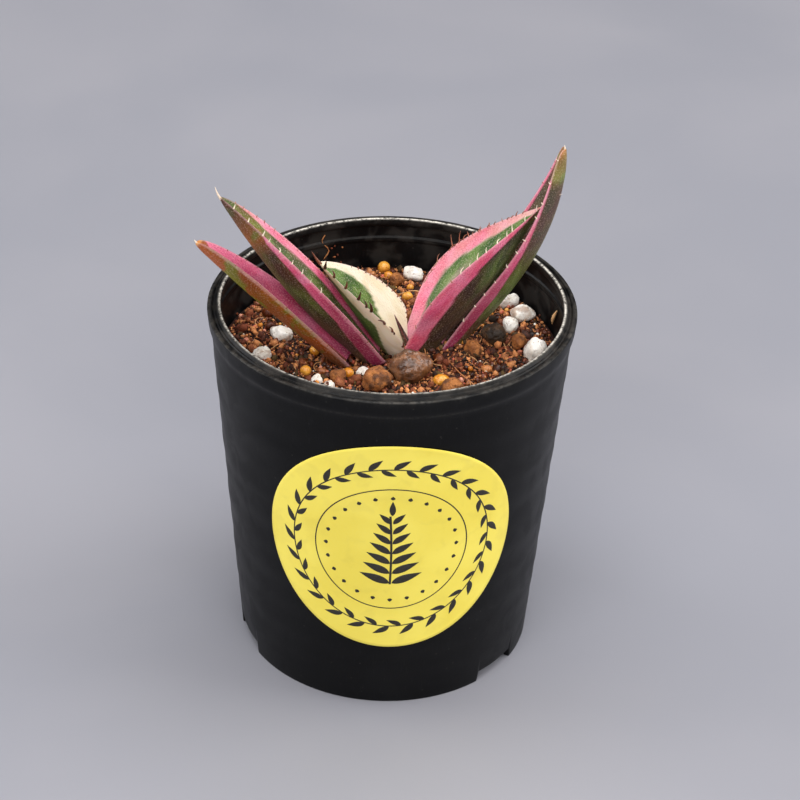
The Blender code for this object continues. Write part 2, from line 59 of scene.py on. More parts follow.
# %% [markdown]
# ## The camera and the table
#
# The camera stands in front of the pot and looks down on it at about a third of a right angle,
# with a fairly long lens, so that the pot's sides hardly converge. It is turned a little about its
# own axis, as a hand-held camera is. The table is one large pale sheet that reaches past what
# the camera sees, so no horizon shows.

# %% Camera
CAMERA_TARGET = Vector((2.57, 0.0, 66.3)) * MM
CAMERA_DISTANCE = 569.8 * MM
CAMERA_DOWN = radians(32.77)
CAMERA_ROLL = radians(1.82)
CAMERA_LENS = 102.7
CAMERA_SENSOR = 36.0

forward = Vector((0.0, cos(CAMERA_DOWN), -sin(CAMERA_DOWN)))
level_up = Vector((0.0, sin(CAMERA_DOWN), cos(CAMERA_DOWN)))
level_right = Vector((1.0, 0.0, 0.0))
right = level_right * cos(CAMERA_ROLL) + level_up * sin(CAMERA_ROLL)
up = level_up * cos(CAMERA_ROLL) - level_right * sin(CAMERA_ROLL)

camera = bpy.data.objects.new("camera", bpy.data.cameras.new("camera"))
camera.data.lens = CAMERA_LENS
camera.data.sensor_width = CAMERA_SENSOR
camera.location = CAMERA_TARGET - forward * CAMERA_DISTANCE
camera.rotation_euler = Matrix((right, up, -forward)).transposed().to_euler()
bpy.context.scene.collection.objects.link(camera)
bpy.context.scene.camera = camera
bpy.context.scene.view_settings.view_transform = "Standard"
print("camera at", [round(place / MM) for place in camera.location], "mm")

# %% [markdown]
# ## Three kinds of helper
#
# **Noise.** Nothing in a plant pot is perfectly even. `noise` gives every point in space a number
# between -1 and 1 that changes smoothly, and `rough` adds finer and finer noise on top.
#
# **Surfaces.** A shape here is a grid of points worked out by a formula. `grid_faces` says which
# four points make each face, and `add_piece` turns the arrays into a mesh that rides on the model.
#
# **Materials.** A few short functions stand for the node editor's Add menu, so that a material
# reads from top to bottom like a recipe.

# %% Noise
LATTICE = 48


def noise(points, cell, seed=0):
    """Random numbers sit on the corners of cubes of this size. A point takes the mix of its cube's
    eight corners, each weighted by 3t^2 - 2t^3 of how near it is along each axis."""
    table = np.random.default_rng(seed).uniform(-1, 1, (LATTICE, LATTICE, LATTICE))
    place = np.asarray(points, float) / cell
    low = np.floor(place).astype(int)
    share = place - low
    share = share * share * (3 - 2 * share)
    total = np.zeros(place.shape[:-1])
    for corner in itertools.product((0, 1), repeat=3):
        weight = np.where(corner, share, 1 - share).prod(-1)
        x, y, z = np.moveaxis((low + corner) % LATTICE, -1, 0)
        total += weight * table[x, y, z]
    return total


def rough(points, cell, layers=3, seed=0):
    """Noise plus half as much of it at half the size, and so on, brought back to -1..1."""
    total = sum(noise(points, cell / 2**i, seed + i) / 2**i for i in range(layers))
    return total / (2 - 2.0 ** (1 - layers))


def step(value, low, high):
    """0 below low, 1 above high and 3t^2 - 2t^3 between them."""
    share = np.clip((value - low) / (high - low), 0, 1)
    return share * share * (3 - 2 * share)


def along_table(share, table):
    """Straight lines through (share, value) pairs."""
    places, values = np.array(table, float).T
    return np.interp(share, places, values)


# %% Surfaces
def grid_faces(rows, columns, close_rows=False, close_columns=False):
    """Corner numbers of the quads between neighbouring points of a grid, which may run round."""
    row = np.arange(rows if close_rows else rows - 1)[:, None]
    column = np.arange(columns if close_columns else columns - 1)[None, :]
    row, column = np.broadcast_arrays(row, column)
    next_row = (row + 1) % rows
    next_column = (column + 1) % columns
    corners = [row * columns + column, row * columns + next_column]
    corners += [next_row * columns + next_column, next_row * columns + column]
    return np.stack(corners, -1).reshape(-1, 4)


def fan_faces(ring, pole, turned=False):
    """Triangles from each edge of a closed ring of points to a pole."""
    following = np.roll(ring, -1)
    pair = (following, ring) if turned else (ring, following)
    return np.stack([*pair, np.full(len(ring), pole)], -1)


def closed_surface(grid, start, end):
    """A grid whose columns run round, closed at its first and last row by a point each."""
    rows, columns = grid.shape[:2]
    points = np.concatenate([grid.reshape(-1, 3), [start, end]])
    first = np.arange(columns)
    last = first + (rows - 1) * columns
    faces = [grid_faces(rows, columns, close_columns=True)]
    faces.append(fan_faces(first, rows * columns, turned=True))
    faces.append(fan_faces(last, rows * columns + 1))
    return points, faces


def repeated(shapes, faces):
    """Many copies of one set of faces, for shapes given as an array of (copy, point, 3)."""
    copies, count = shapes.shape[:2]
    shift = (np.arange(copies) * count)[:, None, None]
    return shapes.reshape(-1, 3), [(face[None] + shift).reshape(-1, face.shape[1]) for face in faces]


def volume(points, faces):
    """Six times the volume inside a closed surface, from the triple product of each triangle."""
    total = 0.0
    for group in faces:
        for k in range(1, group.shape[1] - 1):
            a, b, c = points[group[:, 0]], points[group[:, k]], points[group[:, k + 1]]
            total += np.einsum("ij,ij->", a, np.cross(b, c))
    return total


def add_piece(name, points, faces, material, slot, stands_for=(), values=(), sheet=None, crease=None):
    """A mesh from points in millimetres, its faces outwards, riding on the model.

    values are numbers for each point that the material reads by name; sheet is a place for each
    point on a flat map; crease is the angle in degrees past which an edge stays sharp.
    """
    points = np.asarray(points, float)
    if volume(points, faces) < 0:
        faces = [group[:, ::-1] for group in faces]
    mesh = bpy.data.meshes.new(name)
    corners = np.concatenate([group.ravel() for group in faces])
    widths = np.concatenate([np.full(len(group), group.shape[1]) for group in faces])
    mesh.vertices.add(len(points))
    mesh.vertices.foreach_set("co", (points * MM).ravel())
    mesh.loops.add(len(corners))
    mesh.loops.foreach_set("vertex_index", corners)
    mesh.polygons.add(len(widths))
    mesh.polygons.foreach_set("loop_start", np.concatenate([[0], np.cumsum(widths)[:-1]]))
    for key, value in dict(values).items():
        layer = mesh.attributes.new(key, "FLOAT", "POINT")
        layer.data.foreach_set("value", np.asarray(value, np.float32).ravel())
    if sheet is not None:
        layer = mesh.uv_layers.new(name="sheet")
        layer.data.foreach_set("uv", np.asarray(sheet, np.float32)[corners].ravel())
    mesh.update(calc_edges=True)
    mesh.validate()
    if crease is None or crease > 0:
        mesh.shade_smooth()
    if crease:
        mesh.set_sharp_from_angle(angle=radians(crease))
    mesh.materials.append(material)
    made = bpy.data.objects.new(name, mesh)
    bpy.context.scene.collection.objects.link(made)
    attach(made, "root")
    if stands_for:
        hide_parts(*stands_for)
    print(f"{name}: {len(mesh.polygons)} faces")
    return made


# %% Pieces carried along a path
def tube_points(paths, radii, sides):
    """Rings of points round many paths at once, each with a point at both ends.

    paths is (tube, step, 3) and radii (tube, step). Each ring stands square to the path: its two
    axes are crossed from the path's direction and a fixed one that the path doesn't follow.
    """
    along = np.gradient(paths, axis=1)
    along /= np.linalg.norm(along, axis=-1, keepdims=True)
    mean = along.mean(1)
    fixed = np.eye(3)[np.abs(mean).argmin(1)][:, None, :]
    side = np.cross(along, fixed)
    side /= np.linalg.norm(side, axis=-1, keepdims=True)
    over = np.cross(along, side)
    turn = np.arange(sides) * 2 * pi / sides
    ring = side[:, :, None] * np.cos(turn)[:, None] + over[:, :, None] * np.sin(turn)[:, None]
    rings = paths[:, :, None] + ring * radii[:, :, None, None]
    count, steps = paths.shape[:2]
    return np.concatenate([rings.reshape(count, steps * sides, 3), paths[:, :1], paths[:, -1:]], 1)


def tube_faces(steps, sides):
    """The faces of one tube: its wall, and a fan at each end."""
    first = np.arange(sides)
    last = first + (steps - 1) * sides
    wall = grid_faces(steps, sides, close_columns=True)
    start = fan_faces(first, steps * sides, turned=True)
    return [wall, np.concatenate([start, fan_faces(last, steps * sides + 1)])]


def tubes(paths, radii, sides=6):
    """Points and faces of many tubes as one surface."""
    return repeated(tube_points(paths, radii, sides), tube_faces(paths.shape[1], sides))


# %% Nodes for materials
def paint(red, green, blue):
    """A colour given from 0 to 255 as on a paint chart, made linear for the shader."""
    share = np.array([red, green, blue]) / 255
    linear = np.where(share <= 0.04045, share / 12.92, ((share + 0.055) / 1.055) ** 2.4)
    return (*map(float, linear), 1.0)


def add_node(tree, kind, inputs=(), **settings):
    """A node with its settings, and its inputs either linked or set to a constant."""
    made = tree.nodes.new("ShaderNode" + kind)
    for key, value in settings.items():
        setattr(made, key, value)
    for key, value in dict(inputs).items():
        if isinstance(value, bpy.types.NodeSocket):
            tree.links.new(value, made.inputs[key])
        else:
            made.inputs[key].default_value = value
    return made


def mixed(tree, share, first, second):
    """The first colour where share is 0 and the second where it is 1."""
    return add_node(tree, "Mix", {0: share, 6: first, 7: second}, data_type="RGBA").outputs[2]


def maths(tree, operation, first, second=0.5, third=0.5):
    """One sum worked out for every point; only MULTIPLY_ADD uses the third number."""
    return add_node(tree, "Math", {0: first, 1: second, 2: third}, operation=operation).outputs[0]


def times(tree, first, second):
    """Two numbers multiplied."""
    return maths(tree, "MULTIPLY", first, second)


def tinted(tree, colour, mask, share, tint):
    """A tint laid over a colour where the mask is 1, and only as thickly as share."""
    return mixed(tree, times(tree, mask, share), colour, tint)


def between(tree, value, low, high, out_low=0.0, out_high=1.0):
    """A value's place between low and high, kept to that range and given the new one."""
    inputs = {"Value": value, "From Min": low, "From Max": high, "To Min": out_low, "To Max": out_high}
    return add_node(tree, "MapRange", inputs, interpolation_type="SMOOTHSTEP").outputs["Result"]


def stored(tree, name):
    """A number that the mesh holds for each point."""
    return add_node(tree, "Attribute", attribute_name=name).outputs["Fac"]


def place_of(tree):
    """Where a point is on its object, in metres."""
    return add_node(tree, "TexCoord").outputs["Object"]


def material(name, **constants):
    """A new material and its tree. The constants are set on the shader's own sockets."""
    made = bpy.data.materials.new(name)
    made.use_nodes = True
    shader = made.node_tree.nodes["Principled BSDF"]
    for key, value in constants.items():
        shader.inputs[key.replace("_", " ").title().replace("Ior", "IOR")].default_value = value
    return made, made.node_tree, shader


def finish_surface(tree, shader, colour=None, roughness=None, height=None, relief=0.1):
    """Links what varies to the shader. relief is the bump's full height in millimetres."""
    if colour is not None:
        tree.links.new(colour, shader.inputs["Base Color"])
    if roughness is not None:
        tree.links.new(roughness, shader.inputs["Roughness"])
    if height is not None:
        bump = add_node(tree, "Bump", {"Height": height, "Strength": 1.0, "Distance": relief * MM})
        tree.links.new(bump.outputs["Normal"], shader.inputs["Normal"])


# %% [markdown]
# ## Effects that several materials share
#
# Plastic, paper, leaf and stone all have grain, patches and settled dust, only in different
# amounts. Each effect is a node group, built once here and placed in every material with its own
# sizes. The groups give out masks and heights; the shader itself stays in the material.

# %% Node groups
def new_group(name, inputs, outputs):
    """An empty node group with named sockets: inputs as (name, kind, default), outputs as names."""
    group = bpy.data.node_groups.new(name, "ShaderNodeTree")
    for socket, kind, default in inputs:
        made = group.interface.new_socket(socket, in_out="INPUT", socket_type="NodeSocket" + kind)
        if default is not None:
            made.default_value = default
    for socket in outputs:
        group.interface.new_socket(socket, in_out="OUTPUT", socket_type="NodeSocketFloat")
    return group, group.nodes.new("NodeGroupInput").outputs, group.nodes.new("NodeGroupOutput").inputs


def in_size(tree, vector, size):
    """A place in metres counted in steps of a size given in millimetres."""
    steps = maths(tree, "DIVIDE", 1.0 / MM, size)
    return add_node(tree, "VectorMath", {0: vector, "Scale": steps}, operation="SCALE").outputs[0]


grain_inputs = [("Vector", "Vector", None), ("Size", "Float", 1.0), ("Detail", "Float", 3.0)]
grain_group, given, out = new_group("grain", grain_inputs, ["Height", "Mask"])
grain_place = in_size(grain_group, given["Vector"], given["Size"])
grain_noise = add_node(grain_group, "TexNoise", {"Vector": grain_place, "Scale": 1.0,
                                                 "Detail": given["Detail"], "Roughness": 0.6})
grain_group.links.new(grain_noise.outputs["Fac"], out["Height"])
grain_group.links.new(between(grain_group, grain_noise.outputs["Fac"], 0.4, 0.62), out["Mask"])

patch_inputs = [("Vector", "Vector", None), ("Size", "Float", 5.0), ("Cover", "Float", 0.5),
                ("Softness", "Float", 0.1)]
patch_group, given, out = new_group("patches", patch_inputs, ["Mask"])
patch_place = in_size(patch_group, given["Vector"], given["Size"])
patch_noise = add_node(patch_group, "TexNoise", {"Vector": patch_place, "Scale": 1.0, "Detail": 4.0,
                                                 "Distortion": 0.4})
patch_edge = maths(patch_group, "SUBTRACT", 1.0, given["Cover"])
patch_low = maths(patch_group, "SUBTRACT", patch_edge, given["Softness"])
patch_high = maths(patch_group, "ADD", patch_edge, given["Softness"])
patch_spread = between(patch_group, patch_noise.outputs["Fac"], 0.25, 0.75)
patch_group.links.new(between(patch_group, patch_spread, patch_low, patch_high), out["Mask"])

pit_inputs = [("Vector", "Vector", None), ("Size", "Float", 1.0), ("Width", "Float", 0.3)]
pit_group, given, out = new_group("pits", pit_inputs, ["Height", "Mask"])
pit_place = in_size(pit_group, given["Vector"], given["Size"])
pit_cells = add_node(pit_group, "TexVoronoi", {"Vector": pit_place, "Scale": 1.0})
pit_depth = between(pit_group, pit_cells.outputs["Distance"], 0.0, given["Width"])
pit_group.links.new(pit_depth, out["Height"])
pit_group.links.new(maths(pit_group, "SUBTRACT", 1.0, pit_depth), out["Mask"])

dust_inputs = [("Vector", "Vector", None), ("Size", "Float", 4.0), ("Amount", "Float", 0.5)]
dust_group, given, out = new_group("dust", dust_inputs, ["Mask"])
facing = add_node(dust_group, "SeparateXYZ",
                  {0: add_node(dust_group, "NewGeometry").outputs["Normal"]}).outputs["Z"]
dust_place = in_size(dust_group, given["Vector"], given["Size"])
dust_noise = add_node(dust_group, "TexNoise", {"Vector": dust_place, "Scale": 1.0, "Detail": 6.0,
                                               "Roughness": 0.7})
dust_patch = between(dust_group, dust_noise.outputs["Fac"], 0.42, 0.68)
dust_share = times(dust_group, between(dust_group, facing, 0.0, 0.9), dust_patch)
dust_group.links.new(times(dust_group, dust_share, given["Amount"]), out["Mask"])
print("groups:", [group.name for group in bpy.data.node_groups])


def effect(tree, group, vector, **sizes):
    """A shared effect placed in a material, with its sizes."""
    made = add_node(tree, "Group", node_tree=group)
    tree.links.new(vector, made.inputs["Vector"])
    for key, value in sizes.items():
        made.inputs[key.title()].default_value = value
    return made.outputs


# %% [markdown]
# ## The pot
#
# The pot is injection-moulded black plastic: one wall about a millimetre thick, turned about its
# axis. A lathe modifier could make it, but a table of its outline's corners, each with its own
# rounding, says more plainly what the rim is: a bead outside, a groove, and a crest that catches
# the light. The outline is carried round a full circle, with a slight waviness that the mould
# leaves. Where the foot has a notch, the lowest part of the outline is lifted.

# %% The pot's outline
pot_high = np.array(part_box("pot")[1]) / MM
HEIGHT = pot_high[2]
RIM = pot_high[0]
FOOT = 37.3
BEAD_PROUD = 0.5
WALL = 1.2
TAPER = (RIM - BEAD_PROUD - FOOT) / HEIGHT
FLOOR_UNDER = 3.2
FLOOR_OVER = 4.4
NOTCH_HEIGHT = 2.9
NOTCH_HALF = 6.5
NOTCHES_AT = np.radians([-39.0, 81.0, 201.0])
DRAIN = 1.9
DRAIN_HOLES = 8
DRAIN_RING = 22.0
WALL_TURNS = 300


def wall_at(z):
    """Outside radius of the tapered wall at a height."""
    return FOOT + TAPER * z


def rounded(corners, most=1.4):
    """A closed outline from (radius, height, rounding) corners.

    Each corner gives way to an arc drawn as a quadratic curve: (1-t)^2 A + 2t(1-t) B + t^2 C, from
    a point A before the corner B to a point C after it. Long straights get extra points.
    """
    spots = np.array([corner[:2] for corner in corners], float)
    reach = np.array([corner[2] for corner in corners], float)[:, None]
    before = np.roll(spots, 1, 0) - spots
    after = np.roll(spots, -1, 0) - spots
    start = spots + before / np.linalg.norm(before, axis=1, keepdims=True) * reach
    end = spots + after / np.linalg.norm(after, axis=1, keepdims=True) * reach
    t = np.linspace(0, 1, 5)[None, :, None]
    arcs = (1 - t) ** 2 * start[:, None] + 2 * t * (1 - t) * spots[:, None] + t**2 * end[:, None]
    outline = arcs.reshape(-1, 2)
    pieces = []
    for here, there in zip(outline, np.roll(outline, -1, 0)):
        count = max(1, int(np.ceil(np.linalg.norm(there - here) / most)))
        pieces.append(here + (there - here) * np.arange(count)[:, None] / count)
    return np.concatenate(pieces)


bead_low = HEIGHT - 5.4
outline = rounded([
    (FOOT, 0.0, 0.3),
    (wall_at(bead_low - 1.0), bead_low - 1.0, 0.8),
    (wall_at(bead_low + 1.0) + BEAD_PROUD, bead_low + 1.0, 0.8),
    (RIM, HEIGHT - 0.8, 0.5),
    (RIM - 1.1, HEIGHT - 0.75, 0.15),
    (RIM - 1.35, HEIGHT - 1.25, 0.2),
    (RIM - 1.75, HEIGHT - 0.55, 0.15),
    (RIM - 2.15, HEIGHT - 0.75, 0.12),
    (RIM - 2.5, HEIGHT, 0.2),
    (RIM - 3.4, HEIGHT, 0.4),
    (RIM - 3.4, HEIGHT - 1.9, 0.3),
    (wall_at(HEIGHT - 2.6) - WALL, HEIGHT - 2.6, 0.3),
    (wall_at(HEIGHT - 5.6) - WALL, HEIGHT - 5.6, 0.2),
    (wall_at(HEIGHT - 6.0) - WALL - 0.35, HEIGHT - 6.0, 0.2),
    (wall_at(HEIGHT - 6.9) - WALL - 0.35, HEIGHT - 6.9, 0.2),
    (wall_at(HEIGHT - 7.3) - WALL, HEIGHT - 7.3, 0.2),
    (wall_at(FLOOR_OVER) - WALL, FLOOR_OVER, 1.5),
    (DRAIN, FLOOR_OVER, 0.2),
    (DRAIN, FLOOR_UNDER, 0.2),
    (FOOT - 1.5, FLOOR_UNDER, 0.3),
    (FOOT - 1.5, 0.0, 0.3),
])
print("outline of", len(outline), "points")

# %% The pot's surface
notch_half = NOTCH_HALF / FOOT
notch_edges = (NOTCHES_AT[:, None] + notch_half * np.array([-1, 1])).ravel()
extra = (notch_edges[:, None] + np.linspace(-0.012, 0.012, 9)).ravel() % (2 * pi)
turns = np.unique(np.concatenate([np.arange(WALL_TURNS) * 2 * pi / WALL_TURNS, extra]))
away = np.abs((turns[:, None] - NOTCHES_AT + pi) % (2 * pi) - pi).min(1)
lift = NOTCH_HEIGHT * step(away, notch_half + 0.010, notch_half - 0.010)

radius, level = (value[:, None] for value in outline.T)
outside = step(radius - wall_at(level), -0.3, -0.05)
wavy = 0.05 * np.sin(level / 1.25 + 0.7 * np.sin(turns + 1.0)) + 0.05 * np.sin(level / 2.9 + 2 * turns)
wavy *= outside * step(level, 6, 14) * step(level, bead_low, bead_low - 6)
around = np.stack([np.cos(turns) * 30, np.sin(turns) * 30, 0 * turns], -1)
rim_variation = noise(around, 2.2, 3) * 0.5 + noise(around, 0.9, 4) * 0.5
pot_radius = radius + wavy + 0 * turns
foot_share = np.clip(1 - level / np.where(outside > 0, 8, FLOOR_UNDER), 0, 1)
foot_zone = np.where(radius > FOOT - 1.8, foot_share, 0)
pot_level = level + lift * foot_zone
pot_grid = np.stack([pot_radius * np.cos(turns), pot_radius * np.sin(turns), pot_level], -1)

crest = np.exp(-(((radius - (RIM - 3.0)) / 0.28) ** 2)) * step(level, HEIGHT - 0.5, HEIGHT - 0.05)
bead = np.exp(-(((radius - (RIM - 0.35)) / 0.35) ** 2)) * step(level, HEIGHT - 1.6, HEIGHT - 0.85)
bead_foot = np.exp(-(((level - bead_low - 0.3) / 0.3) ** 2)) * outside
# Brightens the crest's pale line on one side of the pot: a painted highlight where the light falls
lit_side = 0.8 + 0.3 * np.sin(turns + 0.5)
# Crest, bead and the bead's lower edge get a pale line that is partly rubbed wear, partly a painted
# highlight
wear_and_highlight = crest * lit_side * (0.95 + 0.45 * rim_variation) + 0.05 * bead * (0.7 + 1.2 * rim_variation) + 0.02 * bead_foot
run = np.concatenate([[0], np.cumsum(np.linalg.norm(np.diff(outline, axis=0), axis=1))])
pot_sheet = np.stack([turns * 42 + 0 * radius, run[:, None] + 0 * turns], -1).reshape(-1, 2)
pot_values = {"wear_and_highlight": np.clip(wear_and_highlight, 0, 1) + 0 * turns, "within": 1 - outside + 0 * turns}

# %% [markdown]
# Black plastic is never just black. Its moulded skin has a fine satin grain, handling leaves pale
# upright scuffs, the crest's pale line is partly rubbed wear and partly a painted highlight, brighter
# on one side of the pot, and inside, above the mix, splashes of watering have dried to a grey film.

# %% Pot plastic
plastic, tree, shader = material("pot_plastic", specular_ior_level=0.15)
where = place_of(tree)
map_place = add_node(tree, "UVMap", uv_map="sheet").outputs["UV"]
streak_place = add_node(tree, "Mapping", {"Vector": map_place, "Scale": (0.0025, 0.00032, 1.0)})
grain = effect(tree, grain_group, where, size=0.35, detail=2.0)
cloud = effect(tree, patch_group, where, size=22.0, cover=0.5, softness=0.4)
streaks = effect(tree, patch_group, streak_place.outputs["Vector"], size=1.0, cover=0.16, softness=0.12)
smears = effect(tree, patch_group, where, size=7.0, cover=0.42, softness=0.2)
specks = effect(tree, pit_group, where, size=3.1, width=0.11)
dust = effect(tree, dust_group, where, size=2.0, amount=0.5)
wear_and_highlight_value = stored(tree, "wear_and_highlight")
inner = stored(tree, "within")
wear_and_highlight_grain = effect(tree, grain_group, where, size=0.8, detail=4.0)
rubbed_and_highlight = times(tree, wear_and_highlight_value, between(tree, wear_and_highlight_grain["Height"], 0.3, 0.6))
colour = mixed(tree, cloud["Mask"], paint(6, 6, 7), paint(11, 11, 12))
colour = tinted(tree, colour, streaks["Mask"], 0.10, paint(44, 45, 48))
colour = tinted(tree, colour, specks["Mask"], 0.5, paint(60, 58, 54))
colour = tinted(tree, colour, times(tree, smears["Mask"], inner), 0.18, paint(86, 81, 76))
colour = tinted(tree, colour, dust["Mask"], 0.2, paint(110, 98, 84))
# The pale colour on the crest and bead is rubbed wear together with a painted highlight
colour = mixed(tree, rubbed_and_highlight, colour, paint(224, 217, 205))
shine = between(tree, cloud["Mask"], 0.0, 1.0, 0.38, 0.42)
shine = maths(tree, "ADD", shine, times(tree, smears["Mask"], 0.06))
finish_surface(tree, shader, colour, shine, grain["Height"], relief=0.02)

pot = add_piece("pot_moulded", pot_grid.reshape(-1, 3),
                [grid_faces(len(outline), len(turns), close_rows=True, close_columns=True)],
                plastic, "pot", ["pot"], pot_values, pot_sheet, crease=38)

# %% [markdown]
# The floor of the pot has a ring of drain holes. Cutting them with a Boolean is simplest: eight
# short tubes, joined in one cutter, are taken away from the floor and then deleted.

# %% Drain holes
hole_turns = 2 * pi * (np.arange(DRAIN_HOLES) + 0.5) / DRAIN_HOLES
hole_at = DRAIN_RING * np.stack([np.cos(hole_turns), np.sin(hole_turns)], -1)
hole_paths = np.zeros((DRAIN_HOLES, 2, 3))
hole_paths[:, :, :2] = hole_at[:, None]
hole_paths[:, :, 2] = [FLOOR_UNDER - 2, FLOOR_OVER + 2]
hole_tubes = tubes(hole_paths, np.full((DRAIN_HOLES, 2), DRAIN), sides=20)
hole_cutter = add_piece("drain_cutter", *hole_tubes, plastic, "pot")
cut = pot.modifiers.new("drain", "BOOLEAN")
cut.operation = "DIFFERENCE"
cut.object = hole_cutter
bpy.context.view_layer.update()
drained = bpy.data.meshes.new_from_object(pot.evaluated_get(bpy.context.evaluated_depsgraph_get()))
pot.modifiers.remove(cut)
pot.data = drained
bpy.data.objects.remove(hole_cutter)
print("drained pot:", len(pot.data.polygons), "faces")

# %% [markdown]
# ## The label
#
# The label is a disc of yellow film. Film can't stretch, so a flat drawing has to be rolled onto
# the tapered wall: a cone unrolls into a fan, and a point of the flat disc lands where the fan
# does. Every line of the print is rolled on the same way. The print here is a plain botanical
# ornament: a sprig of leaves within a garland.

# %% Rolling a flat drawing onto the wall
LABEL_RADIUS = 31.4
LABEL_HEIGHT = 50.3
LABEL_TURN = radians(2.3)


def on_wall(across, upwards, off):
    """Rolls a flat drawing round the cone: the distance from the fan's tip gives the radius, and
    the angle there, divided by the cone's slope, gives the turn. off is how far outside it lies."""
    slope = TAPER / np.hypot(1.0, TAPER)
    fan = wall_at(LABEL_HEIGHT) / slope
    distance = np.hypot(across, fan + upwards)
    turn = np.arctan2(across, fan + upwards) / slope + LABEL_TURN
    ring = distance * slope
    z = (ring - FOOT) / TAPER
    lean = np.arctan(TAPER)
    ring = ring + off * np.cos(lean)
    return np.stack([ring * np.sin(turn), -ring * np.cos(turn), z - off * np.sin(lean)], -1)


# %% Label film
LABEL_OFF = 0.12
LABEL_THICKNESS = 0.12
LABEL_EDGE = 0.05
LABEL_TURNS = 160
disc_rings = np.array([*np.linspace(0, 1, 40)[1:] * (LABEL_RADIUS - LABEL_EDGE), LABEL_RADIUS])
disc_turns = np.arange(LABEL_TURNS) * 2 * pi / LABEL_TURNS
across = disc_rings[:, None] * np.sin(disc_turns)
upwards = disc_rings[:, None] * np.cos(disc_turns)
curl = 0.05 * step(disc_rings, LABEL_RADIUS - 2, LABEL_RADIUS)[:, None] * (1 + np.sin(3 * disc_turns))
film_top = LABEL_OFF + LABEL_THICKNESS + curl - LABEL_EDGE * (disc_rings == LABEL_RADIUS)[:, None]
face = on_wall(across, upwards, film_top)
back = on_wall(across, upwards, LABEL_OFF + curl)
label_grid = np.concatenate([face, back[::-1]])
flat = np.stack([across, upwards], -1)
label_sheet = np.concatenate([flat, flat[::-1]]).reshape(-1, 2)
label_sheet = np.concatenate([label_sheet, np.zeros((2, 2))]) / (2 * LABEL_RADIUS) + 0.5
label_points, label_faces = closed_surface(
    label_grid, on_wall(0.0, 0.0, LABEL_OFF + LABEL_THICKNESS), on_wall(0.0, 0.0, LABEL_OFF))

film_material, tree, shader = material("label_film", coat_weight=0.25, coat_roughness=0.3)
where = place_of(tree)
tint = effect(tree, patch_group, where, size=18.0, cover=0.5, softness=0.5)
fibre = effect(tree, grain_group, where, size=0.5, detail=3.0)
smudge = effect(tree, patch_group, where, size=5.0, cover=0.2, softness=0.25)
colour = mixed(tree, tint["Mask"], paint(240, 218, 78), paint(248, 228, 92))
colour = tinted(tree, colour, smudge["Mask"], 0.10, paint(170, 150, 60))
colour = tinted(tree, colour, fibre["Mask"], 0.06, paint(235, 224, 130))
finish_surface(tree, shader, colour, between(tree, fibre["Height"], 0.3, 0.7, 0.38, 0.48),
               fibre["Height"], relief=0.012)
add_piece("label_film", label_points, label_faces, film_material, "label", ["label"],
          sheet=label_sheet, crease=60)

# %% [markdown]
# The print is a thin layer of ink. Each leaf of the ornament is a small grid of two directions,
# along the leaf and across it, so its outline is a formula, and a Solidify modifier gives the ink
# its thickness.

# %% Label print
INK_OFF = LABEL_OFF + LABEL_THICKNESS + 0.012
INK_THICKNESS = 0.03
SPRIG_PAIRS = 7
STEM_BEND = 200.0
GARLAND = 26
DOTS = 24


def drawn_leaf(length, width, lean=0.0):
    """A leaf from the origin upwards: half-width is width/2 * sin(pi t^0.75), with a bent middle."""
    t = np.linspace(0, 1, 15)[:, None]
    v = np.linspace(-1, 1, 5)[None, :]
    half = width / 2 * np.sin(pi * t**0.75) + 0.01
    return np.stack([half * v + lean * t**2 * length, length * t + 0 * v], -1)


def drawn_ring(radius, width, start=0.0, end=2 * pi):
    """A band round the centre between two angles."""
    t = np.linspace(start, end, 15 * 8)[:, None]
    v = np.linspace(-0.5, 0.5, 5)[None, :]
    return np.stack([(radius + width * v) * np.sin(t), (radius + width * v) * np.cos(t)], -1)


def placed(shape, radius, bearing, tilt=0.0):
    """A drawing moved out from the centre along a bearing, and turned to point outwards plus tilt."""
    angle = -(bearing + tilt)
    turned_x = shape[..., 0] * cos(angle) - shape[..., 1] * sin(angle)
    turned_y = shape[..., 0] * sin(angle) + shape[..., 1] * cos(angle)
    return np.stack([turned_x + radius * sin(bearing), turned_y + radius * cos(bearing)], -1)


def print_shapes(name, shapes):
    """Rolls drawings of equal size onto the label as one piece."""
    flat_shapes = np.stack(shapes)
    rolled = on_wall(flat_shapes[..., 0], flat_shapes[..., 1], INK_OFF)
    copies, rows, columns = rolled.shape[:3]
    points, faces = repeated(rolled.reshape(copies, -1, 3), [grid_faces(rows, columns)])
    solid = add_piece(name, points, faces, ink, "label").modifiers.new("ink", "SOLIDIFY")
    solid.thickness = INK_THICKNESS * MM
    solid.offset = 0.0


ink, tree, shader = material("label_ink")
where = place_of(tree)
spread = effect(tree, grain_group, where, size=0.6, detail=3.0)
finish_surface(tree, shader, mixed(tree, spread["Mask"], paint(30, 27, 22), paint(46, 41, 30)),
               between(tree, spread["Height"], 0.3, 0.7, 0.4, 0.55), spread["Height"], relief=0.008)

